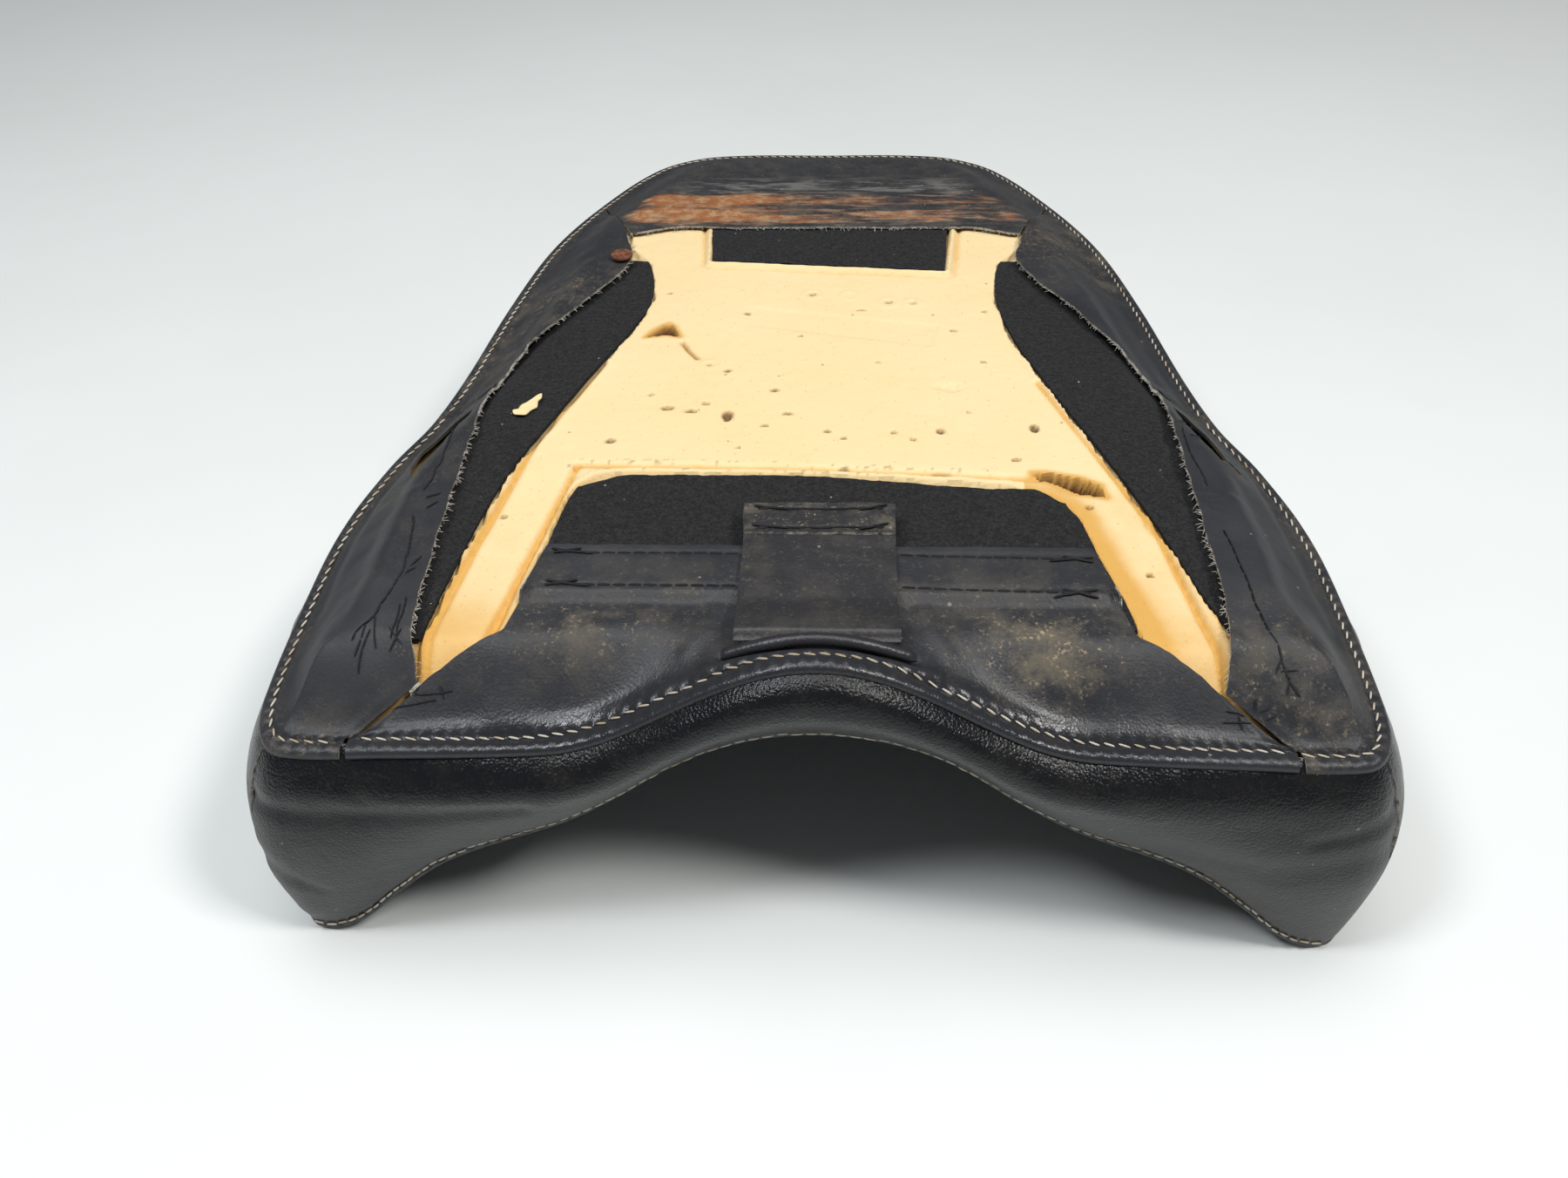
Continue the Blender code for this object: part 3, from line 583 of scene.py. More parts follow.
class Recipe:
    """A node tree under construction."""

    def __init__(self, tree: bpy.types.NodeTree) -> None:
        """Keep the tree to build in."""
        self.tree = tree

    def add(self, kind: str, **settings: object) -> bpy.types.Node:
        """Add a node and set its properties."""
        node = self.tree.nodes.new(kind)
        for name, value in settings.items():
            setattr(node, name, value)
        return node

    def feed(self, socket: bpy.types.NodeSocket, value: object) -> None:
        """Link a socket to another, or set it to a constant."""
        if isinstance(value, bpy.types.NodeSocket):
            self.tree.links.new(value, socket)
        else:
            socket.default_value = value

    def sum(self, kind: str, a: object, b: object = 0.0,
            clamp: bool = False) -> bpy.types.NodeSocket:
        """Combine two numbers with a Math node."""
        node = self.add("ShaderNodeMath", operation=kind, use_clamp=clamp)
        self.feed(node.inputs[0], a)
        self.feed(node.inputs[1], b)
        return node.outputs[0]

    def blend(self, factor: object, a: object, b: object) -> bpy.types.NodeSocket:
        """Blend two colours."""
        node = self.add("ShaderNodeMix", data_type="RGBA")
        self.feed(node.inputs[0], factor)
        for socket, value in ((node.inputs[6], a), (node.inputs[7], b)):
            self.feed(socket, value)
        return node.outputs[2]

    def span(self, value: object, low: float, high: float, to_low: float = 0.0,
             to_high: float = 1.0) -> bpy.types.NodeSocket:
        """Map a number from one range to another, held within it."""
        node = self.add("ShaderNodeMapRange", interpolation_type="SMOOTHSTEP")
        self.feed(node.inputs["Value"], value)
        for name, bound in (("From Min", low), ("From Max", high),
                            ("To Min", to_low), ("To Max", to_high)):
            node.inputs[name].default_value = bound
        return node.outputs[0]

    def place(self, stretch: tuple[float, float, float] = (1, 1, 1)
              ) -> bpy.types.NodeSocket:
        """Object coordinates, stretched by axis."""
        source = self.add("ShaderNodeTexCoord")
        mapping = self.add("ShaderNodeMapping")
        mapping.inputs["Scale"].default_value = stretch
        self.feed(mapping.inputs["Vector"], source.outputs["Object"])
        return mapping.outputs[0]

    def noise(self, at: bpy.types.NodeSocket, scale: float, detail: float = 3.0,
              rough_by: float = 0.55) -> bpy.types.NodeSocket:
        """Noise value at a point."""
        node = self.add("ShaderNodeTexNoise")
        self.feed(node.inputs["Vector"], at)
        node.inputs["Scale"].default_value = scale
        node.inputs["Detail"].default_value = detail
        node.inputs["Roughness"].default_value = rough_by
        return node.outputs[0]

    def fact(self, name: str) -> bpy.types.NodeSocket:
        """A value kept on the piece's points, 0 where it has none."""
        node = self.add("ShaderNodeAttribute", attribute_name=name)
        return node.outputs["Fac"]


def effect(name: str, inputs: dict[str, float], output: str,
           fill: Callable[[Recipe, bpy.types.Node], bpy.types.NodeSocket]
           ) -> bpy.types.NodeTree:
    """Make a shared effect once, as a node group.

    Args:
        name: The group's name.
        inputs: Its number inputs and their defaults.
        output: Name of its number output.
        fill: Builds the inside from a recipe and the input node.

    Returns:
        The node group.
    """
    if name in bpy.data.node_groups:
        return bpy.data.node_groups[name]
    tree = bpy.data.node_groups.new(name, "ShaderNodeTree")
    for label, value in inputs.items():
        socket = tree.interface.new_socket(label, in_out="INPUT",
                                           socket_type="NodeSocketFloat")
        socket.default_value = value
    tree.interface.new_socket(output, in_out="OUTPUT",
                              socket_type="NodeSocketFloat")
    recipe = Recipe(tree)
    source = recipe.add("NodeGroupInput")
    result = fill(recipe, source)
    recipe.feed(recipe.add("NodeGroupOutput").inputs[0], result)
    return tree


def leather_grain() -> bpy.types.NodeTree:
    """Pebbled grain of coated vinyl, as a height."""
    def fill(r: Recipe, source: bpy.types.Node) -> bpy.types.NodeSocket:
        """Cells with sunk joints and a fine tooth over them."""
        cells = r.add("ShaderNodeTexVoronoi", feature="SMOOTH_F1")
        cells.inputs["Smoothness"].default_value = 0.35
        r.feed(cells.inputs["Vector"], r.place())
        r.feed(cells.inputs["Scale"], source.outputs["Cells per metre"])
        fine = r.noise(r.place(), 2600.0, 2.0)
        sunk = r.sum("MULTIPLY", cells.outputs["Distance"], -1.0)
        tooth = r.sum("MULTIPLY", fine, source.outputs["Tooth"])
        return r.sum("ADD", sunk, tooth)
    return effect("leather_grain", {"Cells per metre": 900.0, "Tooth": 0.5},
                  "Height", fill)


def needle_pucker() -> bpy.types.NodeTree:
    """Dimples that a row of stitches pulls into the cover, as a height."""
    def fill(r: Recipe, source: bpy.types.Node) -> bpy.types.NodeSocket:
        """A dip at each needle hole, fading to both sides of the row."""
        turn = r.sum("MULTIPLY", source.outputs["Run"], 2 * math.pi / 5.5)
        wave = r.sum("COSINE", turn)
        near = r.sum("MULTIPLY", source.outputs["Gap"], source.outputs["Gap"])
        bell = r.sum("EXPONENT", r.sum("MULTIPLY", near, -0.16))
        dip = r.sum("MULTIPLY", r.sum("ADD", wave, -1.6), bell)
        return r.sum("MULTIPLY", dip, source.outputs["Show"])
    return effect("needle_pucker", {"Run": 0.0, "Gap": 99.0, "Show": 0.0},
                  "Height", fill)


def loose_specks() -> bpy.types.NodeTree:
    """Small scattered dots, as a mask."""
    def fill(r: Recipe, source: bpy.types.Node) -> bpy.types.NodeSocket:
        """Cells of which a few at random hold a dot."""
        cells = r.add("ShaderNodeTexVoronoi")
        r.feed(cells.inputs["Vector"], r.place())
        r.feed(cells.inputs["Scale"], source.outputs["Cells per metre"])
        pick = r.add("ShaderNodeSeparateColor")
        r.feed(pick.inputs[0], cells.outputs["Color"])
        chosen = r.sum("LESS_THAN", pick.outputs[0], source.outputs["Share"])
        size = r.sum("MULTIPLY", pick.outputs[1], source.outputs["Reach"])
        inside = r.sum("LESS_THAN", cells.outputs["Distance"], size)
        return r.sum("MULTIPLY", chosen, inside)
    return effect("loose_specks", {"Cells per metre": 300.0, "Share": 0.05,
                                   "Reach": 0.4}, "Mask", fill)


def new_material(name: str) -> tuple[bpy.types.Material, Recipe, bpy.types.Node]:
    """Make a material and hand back its recipe and shader."""
    mat = bpy.data.materials.new(name)
    mat.use_nodes = True
    shader = mat.node_tree.nodes["Principled BSDF"]
    return mat, Recipe(mat.node_tree), shader


def use(r: Recipe, tree: bpy.types.NodeTree, **values: object
        ) -> bpy.types.NodeSocket:
    """Add a shared effect and set its inputs, given with underscores."""
    node = r.add("ShaderNodeGroup", node_tree=tree)
    for label, value in values.items():
        r.feed(node.inputs[label.replace("_", " ")], value)
    return node.outputs[0]


def rise(r: Recipe, shader: bpy.types.Node, height: bpy.types.NodeSocket,
         depth: float, strength: float = 1.0) -> None:
    """Feed a height to the shader through a Bump node."""
    bump = r.add("ShaderNodeBump")
    bump.inputs["Strength"].default_value = strength
    bump.inputs["Distance"].default_value = depth
    r.feed(bump.inputs["Height"], height)
    r.feed(shader.inputs["Normal"], bump.outputs[0])


@dataclass(frozen=True)
class VinylFinish:
    """Coated vinyl with grain, dust, scuffs, shine and rust marks."""

    name: str
    colour: tuple[float, float, float] = (0.021, 0.022, 0.025)
    roughness: float = 0.52
    shine: float = 0.20
    grain: float = 0.00010
    cells: float = 900.0
    film: float = 0.35
    mirror: float = 0.5

    def build(self) -> bpy.types.Material:
        """Make the material."""
        mat, r, shader = new_material(self.name)
        at = r.place()
        dust, gloss = r.fact("dust"), r.fact("gloss")
        broad = r.span(r.noise(at, 14.0, 5.0, 0.62), 0.40, 0.72)
        fine = r.span(r.noise(at, 210.0, 4.0, 0.7), 0.42, 0.70)
        flecks = r.span(r.noise(at, 640.0, 3.0, 0.7), 0.52, 0.66)
        film = r.sum("MULTIPLY", broad, self.film)
        film = r.sum("MULTIPLY", film, r.sum("SUBTRACT", 1.0, gloss))
        worn = r.blend(film, (*self.colour, 1), (0.050, 0.051, 0.054, 1))
        smear = r.sum("MULTIPLY", dust, r.span(r.noise(at, 60.0, 5.0, 0.7),
                                               0.42, 0.66))
        worn = r.blend(r.sum("MULTIPLY", smear, 0.55), worn,
                       (0.150, 0.128, 0.092, 1))
        crust = r.sum("MULTIPLY", r.sum("MULTIPLY", dust, flecks), fine)
        worn = r.blend(r.sum("MULTIPLY", crust, 0.9), worn,
                       (0.34, 0.27, 0.16, 1))
        streak = r.noise(r.place((1.0, 5.0, 5.0)), 34.0, 5.0, 0.7)
        scuff = r.sum("MULTIPLY", r.fact("scuff"), r.span(streak, 0.44, 0.60))
        worn = r.blend(r.sum("MULTIPLY", scuff, 0.75), worn,
                       (0.16, 0.155, 0.145, 1))
        eaten = r.sum("ADD", r.fact("rust"),
                      r.sum("MULTIPLY", r.sum("SUBTRACT", streak, 0.5), 1.5))
        eaten = r.span(r.sum("MULTIPLY", eaten, r.span(r.fact("rust"), 0.02, 0.2)),
                       0.30, 0.75)
        tint = r.blend(r.span(r.noise(at, 120.0, 4.0, 0.7), 0.4, 0.65),
                       (0.30, 0.105, 0.030, 1), (0.42, 0.25, 0.13, 1))
        worn = r.blend(r.sum("MULTIPLY", eaten, 0.88), worn, tint)
        specks = use(r, loose_specks(), Cells_per_metre=260.0, Share=0.035,
                     Reach=0.22)
        worn = r.blend(r.sum("MULTIPLY", specks, 0.5), worn,
                       (0.30, 0.28, 0.24, 1))
        r.feed(shader.inputs["Base Color"], worn)
        matt = r.sum("ADD", self.roughness, r.sum("MULTIPLY", film, 0.35))
        base = r.sum("ADD", r.sum("MULTIPLY", fine, 0.10), self.shine)
        mix = r.add("ShaderNodeMix")
        r.feed(mix.inputs[0], gloss)
        r.feed(mix.inputs[2], matt)
        r.feed(mix.inputs[3], base)
        spoilt = r.sum("ADD", mix.outputs[0], r.sum("MULTIPLY", eaten, 0.4))
        r.feed(shader.inputs["Roughness"],
               r.sum("ADD", spoilt, r.sum("MULTIPLY", smear, 0.25), True))
        shader.inputs["Specular IOR Level"].default_value = self.mirror
        grain = use(r, leather_grain(), Cells_per_metre=self.cells, Tooth=0.5)
        pucker = use(r, needle_pucker(), Run=r.fact("stitch_run"),
                     Gap=r.fact("stitch_gap"), Show=r.fact("stitched"))
        height = r.sum("ADD", grain, r.sum("MULTIPLY", pucker, 2.6))
        soft = r.sum("MULTIPLY", r.noise(at, 95.0, 3.0), 2.0)
        rise(r, shader, r.sum("ADD", height, soft), self.grain)
        return mat


@dataclass(frozen=True)
class FoamFinish:
    """Moulded cream foam, yellowed and torn in places, with painted shade in its grooves,
    holes, tears, crack and seam gaps.
    """

    name: str = "moulded_foam"
    cream: tuple[float, float, float] = (0.80, 0.63, 0.35)
    yellow: tuple[float, float, float] = (0.64, 0.36, 0.090)
    # Dark brown of the painted shade in holes, tears, the crack and seam gaps.
    shade_brown: tuple[float, float, float] = (0.075, 0.022, 0.006)

    def build(self) -> bpy.types.Material:
        """Make the material."""
        mat, r, shader = new_material(self.name)
        at = r.place()
        mottle = r.span(r.noise(at, 26.0, 5.0, 0.6), 0.35, 0.75)
        cloud = r.span(r.noise(at, 7.0, 3.0, 0.5), 0.35, 0.75)
        pale = r.blend(r.sum("MULTIPLY", mottle, 0.35), (*self.cream, 1),
                       (0.80, 0.58, 0.28, 1))
        pale = r.blend(r.sum("MULTIPLY", cloud, 0.30), pale,
                       (0.86, 0.72, 0.46, 1))
        aged = r.sum("ADD", r.fact("yellowing_and_shade"),
                     r.sum("MULTIPLY", r.sum("SUBTRACT", mottle, 0.5), 0.18))
        skin = r.blend(r.span(aged, 0.05, 1.0), pale, (*self.yellow, 1))
        pores = use(r, loose_specks(), Cells_per_metre=520.0, Share=0.16,
                    Reach=0.30)
        pits = use(r, loose_specks(), Cells_per_metre=190.0, Share=0.07,
                   Reach=0.17)
        # Pores and pits are tinted darker: painted shade in the small holes.
        skin = r.blend(r.sum("MULTIPLY", pores, 0.22), skin,
                       (0.55, 0.31, 0.08, 1))
        skin = r.blend(r.sum("MULTIPLY", pits, 0.60), skin,
                       (0.40, 0.19, 0.04, 1))
        # Painted shade: the foam turns dark brown where it lies in holes, tears, the crack
        # and seam gaps.
        r.feed(shader.inputs["Base Color"],
               r.blend(r.fact("painted_shade"), skin, (*self.shade_brown, 1)))
        shader.inputs["Roughness"].default_value = 0.78
        shader.inputs["Specular IOR Level"].default_value = 0.25
        fine = r.noise(at, 900.0, 3.0, 0.65)
        height = r.sum("SUBTRACT", fine, r.sum("MULTIPLY", pores, 0.5))
        height = r.sum("SUBTRACT", height, r.sum("MULTIPLY", pits, 1.8))
        height = r.sum("ADD", height,
                       r.sum("MULTIPLY", r.noise(at, 160.0, 3.0), 1.4))
        rise(r, shader, height, 0.00025)
        return mat


@dataclass(frozen=True)
class FleeceFinish:
    """Black needled felt with a napped face and pale lint."""

    name: str = "black_fleece"
    lint: float = 0.012

    def build(self) -> bpy.types.Material:
        """Make the material."""
        mat, r, shader = new_material(self.name)
        at = r.place()
        tufts = r.noise(at, 520.0, 4.0, 0.75)
        hairs = r.noise(r.place((1.0, 3.2, 1.0)), 900.0, 3.0, 0.7)
        nap = r.sum("MULTIPLY", r.sum("ADD", tufts, hairs), 0.5)
        dark = r.blend(r.span(nap, 0.40, 0.66), (0.0035, 0.0035, 0.004, 1),
                       (0.040, 0.040, 0.043, 1))
        specks = use(r, loose_specks(), Cells_per_metre=420.0,
                     Share=r.sum("ADD", r.fact("lint"), self.lint), Reach=0.22)
        r.feed(shader.inputs["Base Color"],
               r.blend(r.sum("MULTIPLY", specks, 0.75), dark,
                       (0.60, 0.58, 0.52, 1)))
        shader.inputs["Roughness"].default_value = 0.95
        shader.inputs["Specular IOR Level"].default_value = 0.12
        shader.inputs["Sheen Weight"].default_value = 0.06
        rise(r, shader, r.sum("MULTIPLY", nap, 4.0), 0.0006)
        return mat


@dataclass(frozen=True)
class ThreadFinish:
    """Twisted sewing thread."""

    name: str
    colour: tuple[float, float, float]
    soiled: tuple[float, float, float]
    roughness: float = 0.7

    def build(self) -> bpy.types.Material:
        """Make the material."""
        mat, r, shader = new_material(self.name)
        at = r.place()
        ply = r.add("ShaderNodeTexWave", wave_type="BANDS",
                    bands_direction="DIAGONAL")
        r.feed(ply.inputs["Vector"], at)
        ply.inputs["Scale"].default_value = 900.0
        ply.inputs["Distortion"].default_value = 2.0
        soil = r.span(r.noise(at, 45.0, 4.0, 0.6), 0.40, 0.68)
        r.feed(shader.inputs["Base Color"],
               r.blend(soil, (*self.colour, 1), (*self.soiled, 1)))
        shader.inputs["Roughness"].default_value = self.roughness
        rise(r, shader, ply.outputs["Fac"], 0.00015)
        return mat


@dataclass(frozen=True)
class BackingFinish:
    """Fuzzy woven backing that shows on raw edges and undersides."""

    name: str = "cover_backing"
    pale: tuple[float, float, float] = (0.44, 0.41, 0.35)
    grey: tuple[float, float, float] = (0.10, 0.095, 0.09)

    def build(self) -> bpy.types.Material:
        """Make the material."""
        mat, r, shader = new_material(self.name)
        at = r.place()
        torn = r.span(r.noise(at, 230.0, 4.0, 0.75), 0.38, 0.62)
        r.feed(shader.inputs["Base Color"],
               r.blend(torn, (*self.grey, 1), (*self.pale, 1)))
        shader.inputs["Roughness"].default_value = 0.95
        rise(r, shader, r.noise(at, 900.0, 3.0, 0.7), 0.0005)
        return mat


@dataclass(frozen=True)
class RustFinish:
    """Steel button gone brown with rust."""

    name: str = "rusty_steel"

    def build(self) -> bpy.types.Material:
        """Make the material."""
        mat, r, shader = new_material(self.name)
        at = r.place()
        bloom = r.span(r.noise(at, 330.0, 5.0, 0.7), 0.38, 0.66)
        r.feed(shader.inputs["Base Color"],
               r.blend(bloom, (0.105, 0.034, 0.018, 1), (0.27, 0.105, 0.05, 1)))
        r.feed(shader.inputs["Roughness"], r.span(bloom, 0, 1, 0.55, 0.9))
        shader.inputs["Metallic"].default_value = 0.25
        rise(r, shader, r.noise(at, 900.0, 4.0, 0.7), 0.0004)
        return mat


@dataclass(frozen=True)
class PlasticFinish:
    """Dull moulded strip."""

    name: str = "listing_plastic"

    def build(self) -> bpy.types.Material:
        """Make the material."""
        mat, r, shader = new_material(self.name)
        at = r.place()
        scuffs = r.span(r.noise(at, 90.0, 5.0, 0.7), 0.4, 0.7)
        r.feed(shader.inputs["Base Color"],
               r.blend(scuffs, (0.05, 0.05, 0.055, 1), (0.10, 0.10, 0.10, 1)))
        r.feed(shader.inputs["Roughness"], r.span(scuffs, 0, 1, 0.4, 0.6))
        rise(r, shader, r.noise(at, 800.0, 2.0), 0.0001)
        return mat


@dataclass(frozen=True)
class FloorFinish:
    """Pale painted board."""

    name: str = "pale_board"
    colour: tuple[float, float, float] = (0.80, 0.83, 0.82)

    def build(self) -> bpy.types.Material:
        """Make the material."""
        mat, r, shader = new_material(self.name)
        at = r.place()
        tone = r.span(r.noise(at, 2.5, 4.0, 0.6), 0.35, 0.7)
        r.feed(shader.inputs["Base Color"],
               r.blend(r.sum("MULTIPLY", tone, 0.25), (*self.colour, 1),
                       (0.70, 0.74, 0.72, 1)))
        shader.inputs["Roughness"].default_value = 0.42
        return mat


class Finishes:
    """Every material of the seat, made once."""

    def __init__(self) -> None:
        """Build the materials."""
        self.flap = VinylFinish("flap_vinyl", colour=(0.020, 0.021, 0.025),
                                mirror=0.42).build()
        self.wall = VinylFinish("wall_vinyl", colour=(0.0075, 0.008, 0.0095),
                                roughness=0.40, shine=0.15, film=0.14,
                                grain=0.00020, mirror=0.27).build()
        self.strap = VinylFinish("strap_vinyl", colour=(0.020, 0.020, 0.023),
                                 cells=700.0, film=0.20, mirror=0.45).build()
        self.foam = FoamFinish().build()
        self.fleece = FleeceFinish().build()
        self.backing = BackingFinish().build()
        self.pale_thread = ThreadFinish("tan_thread", (0.66, 0.60, 0.50),
                                        (0.42, 0.33, 0.22)).build()
        self.black_thread = ThreadFinish("black_thread", (0.006, 0.006, 0.007),
                                         (0.014, 0.014, 0.015), 0.6).build()
        self.fibre = ThreadFinish("loose_fibre", (0.55, 0.52, 0.46),
                                  (0.36, 0.33, 0.29), 0.9).build()
        self.rust = RustFinish().build()
        self.plastic = PlasticFinish().build()
        self.floor = FloorFinish().build()

    def cover(self, face: bpy.types.Material) -> list[bpy.types.Material]:
        """Face, back and raw edge of a piece of the cover."""
        return [face, self.backing, self.backing]


# ---- foam core -------------------------------------------------------------

@dataclass
class FoamCore:
    """Moulded foam core with its grooves, bubbles and tears."""

    sink: float = 0.0018
    raised: float = 0.0034
    seat_inset: float = 0.0050
    bare: Plan = tuple(mm((
        (-128, 170), (-121, 120), (-106, 98), (-99, 52), (-106, 14),
        (-119, -27), (-134, -80), (-148, -133), (-156, -190), (-160, -234),
        (-163, -264), (172, -264), (169, -247), (160, -213), (150, -168),
        (133, -104), (112, -28), (104, 8), (100, 50), (106, 98), (122, 120),
        (129, 170))))
    rear_bed: Plan = tuple(mm((
        (-130, -264), (-124, -223), (-120, -183), (-116, -150), (-112, -137),
        (-106, -130), (-97, -127), (-60, -127), (0, -128), (40, -130.5),
        (80, -134), (93, -136.5), (104, -141), (112, -149), (116, -158),
        (121, -186), (129, -232), (134, -264))))
    front_bed: Plan = tuple(mm(((-72, 172), (-68, 101), (73, 88), (83, 172))))
    grooves: tuple = (
        (mm(((-117, -24), (-139, -102), (-151, -180), (-157, -228),
             (-159, -264))), 0.0020, 0.0024),
        (mm(((-116, -120), (-121, -156), (-128, -201), (-133, -237),
             (-137, -264))), 0.0020, 0.0026),
        (mm(((-116, -120), (-60, -120), (-17, -121), (56, -125),
             (102, -128.5))), 0.0019, 0.0018),
        (mm(((112, -42), (132, -112), (148, -166), (153, -204),
             (157, -233), (163, -264))), 0.0017, 0.0020),
        (mm(((-77, 1), (-73, -8), (-67, -17))), 0.0012, 0.0024))
    bubbles: tuple = (
        (-50, -30, 2.2, 1.6), (-43, 35, 1.9, 1.9), (22, 39, 2.6, 1.1),
        (-24, -50, 1.9, 1.7), (-78, -68, 3.4, 2.1), (-66, -71, 3.4, 1.6),
        (-47, -75, 3.0, 5.0), (-17, -73, 3.0, 1.3), (-59, -64, 1.9, 1.7),
        (-28, -84, 2.0, 1.1), (3, -89, 1.9, 1.4), (11, -95, 1.5, 1.2),
        (36, -90, 1.7, 1.4), (59, -88, 2.2, 2.4), (45, -96, 1.5, 1.3),
        (105, -85, 2.3, 4.2), (-103, -99, 2.8, 1.9), (56, -126, 4.6, 2.0),
        (11, -122, 2.7, 1.3), (93, -113, 2.2, 1.5), (73, 15, 2.0, 1.6),
        (86, -20, 1.4, 1.3), (-6, 59, 2.0, 1.8), (38, 49, 2.0, 1.8),
        (52, 48, 1.7, 1.7), (-40, -104, 1.1, 0.9), (74, -71, 1.2, 1.0),
        (-88, -55, 1.3, 1.1), (30, -20, 1.1, 0.9), (-12, 8, 1.2, 0.9),
        (92, 38, 1.4, 1.2), (-90, 60, 1.5, 1.2), (122, -150, 1.6, 1.3),
        (-143, -160, 1.5, 1.2), (140, -196, 1.4, 1.2), (-60, -24, 1.2, 1.2))
    rings: tuple = ((-60, -24, 4.2), (-6, 58, 5.2), (16, 57, 5.0),
                    (38, 48, 5.0), (52, 48, 4.6))
    left_tear: Plan = tuple(mm(((-98, 6), (-95, 12), (-90, 19), (-86, 22),
                                (-83, 18), (-79, 7), (-86, 9))))
    right_tear: Plan = tuple(mm(((99, -124), (106, -124), (114, -126),
                                 (122, -129), (129, -134), (130, -142),
                                 (124, -141), (117, -139), (110, -133),
                                 (104, -129))))
    insert: Plan = tuple(mm(((-45, 44), (-41, 19), (60, -4), (66, 22))))
    tip_seam: Plan = tuple(mm(((163, -258), (174, -268), (189, -283))))
    dent_at: tuple[float, float] = (0.066, -0.046)
    blister_at: tuple[float, float] = (0.1475, -0.158)
    bubble_depth: float = 0.0032
    left_tear_depth: float = 0.0060
    right_tear_depth: float = 0.0085

    def relief(self, x: np.ndarray, y: np.ndarray
               ) -> tuple[np.ndarray, np.ndarray, np.ndarray]:
        """Detail of the bare underside.

        Args:
            x: Plan position across.
            y: Plan position along.

        Returns:
            Height over the plain underside, yellowing with painted shade, and painted
            shade in holes and gaps.
        """
        ragged = rough(x, y, 0.011, 5, 3) * 0.0016
        height, yellowing_and_shade, on = self.mouldings(x, y, ragged)
        # Painted shade along the tip seams, where the foam shows in the gap under the
        # cover.
        painted_shade = hump(line_gap(np.abs(x), y, self.tip_seam), 0.0042)
        height, yellowing_and_shade, painted_shade = self.bubbles_and_tears(x, y, height, yellowing_and_shade,
                                                       painted_shade)
        height, yellowing_and_shade = self.blemishes(x, y, height, yellowing_and_shade)
        # Painted shade in the pin holes beside the rear groove.
        pin_row = line_gap(x, y, self.grooves[2][0])
        pins = rough(x, y, 0.0016, 31, 1) > 0.52
        near = hump(pin_row - 0.0035, 0.0016) * pins * (y > -0.128)
        painted_shade = np.maximum(painted_shade, 0.45 * near)
        height += on * 0.00035 * rough(x, y, 0.030, 12, 3)
        height += on * 0.00016 * rough(x, y, 0.006, 14, 2)
        return height - self.sink, np.clip(yellowing_and_shade, 0, 1), np.clip(painted_shade, 0, 1)

    def mouldings(self, x: np.ndarray, y: np.ndarray, ragged: np.ndarray
                  ) -> tuple[np.ndarray, np.ndarray, np.ndarray]:
        """Raised bare foam with its rims and grooves.

        Args:
            x: Plan position across.
            y: Plan position along.
            ragged: Unevenness of every moulded edge.

        Returns:
            Height, yellowing with painted shade in the grooves and at the rims, and how
            far each point is on bare foam.
        """
        bare_gap = inside_gap(x, y, self.bare) + ragged
        bed_gap = inside_gap(x, y, self.rear_bed) + ragged * 0.7
        front_gap = inside_gap(x, y, self.front_bed) + ragged * 0.25
        on = ease((bare_gap + 0.0008) / 0.0020)
        on = on * (1 - ease((bed_gap + 0.0008) / 0.0020))
        on = on * (1 - ease((front_gap + 0.0008) / 0.0018))
        height = on * self.raised
        rim = hump(bare_gap - 0.0022, 0.0026) * (y < -0.02) * 0.0012
        left_bed = (x < 0.09) & (bed_gap < 0)
        rim = rim + hump(bed_gap + 0.0024, 0.0026) * left_bed * 0.0012
        frame_rim = hump(front_gap + 0.0022, 0.0018) * 0.0018
        frame_rim = frame_rim - hump(front_gap + 0.0060, 0.0015) * 0.0018
        height += on * (rim + frame_rim)
        # Darker lines at the moulded edges, in the front rim's groove and in every groove:
        # painted shade on top of real yellowing.
        yellowing_and_shade = 0.35 * hump(bare_gap, 0.0020) + 0.45 * hump(bed_gap, 0.0022)
        yellowing_and_shade += 0.55 * hump(front_gap, 0.0016)
        yellowing_and_shade += 0.60 * hump(front_gap + 0.0060, 0.0013)
        for line, width, depth in self.grooves:
            wobble = line_gap(x, y, line) + ragged * 0.3
            height -= on * depth * hump(wobble, width)
            yellowing_and_shade += 0.85 * hump(wobble, width * 0.9)
        legs = ease((np.abs(x) - 0.100) / 0.03)
        rear = ease((-0.175 - y) / 0.075) * (0.55 + 0.30 * rough(x, y, 0.03, 9))
        yellowing_and_shade += legs * rear * 0.66
        yellowing_and_shade += 0.28 * legs * ease((-0.10 - y) / 0.06)
        scorched_bed = hump(np.minimum(bed_gap + 0.004, 0), 0.006)
        yellowing_and_shade += 0.75 * (x > 0.095) * scorched_bed * (y < -0.13)
        return height, yellowing_and_shade, on

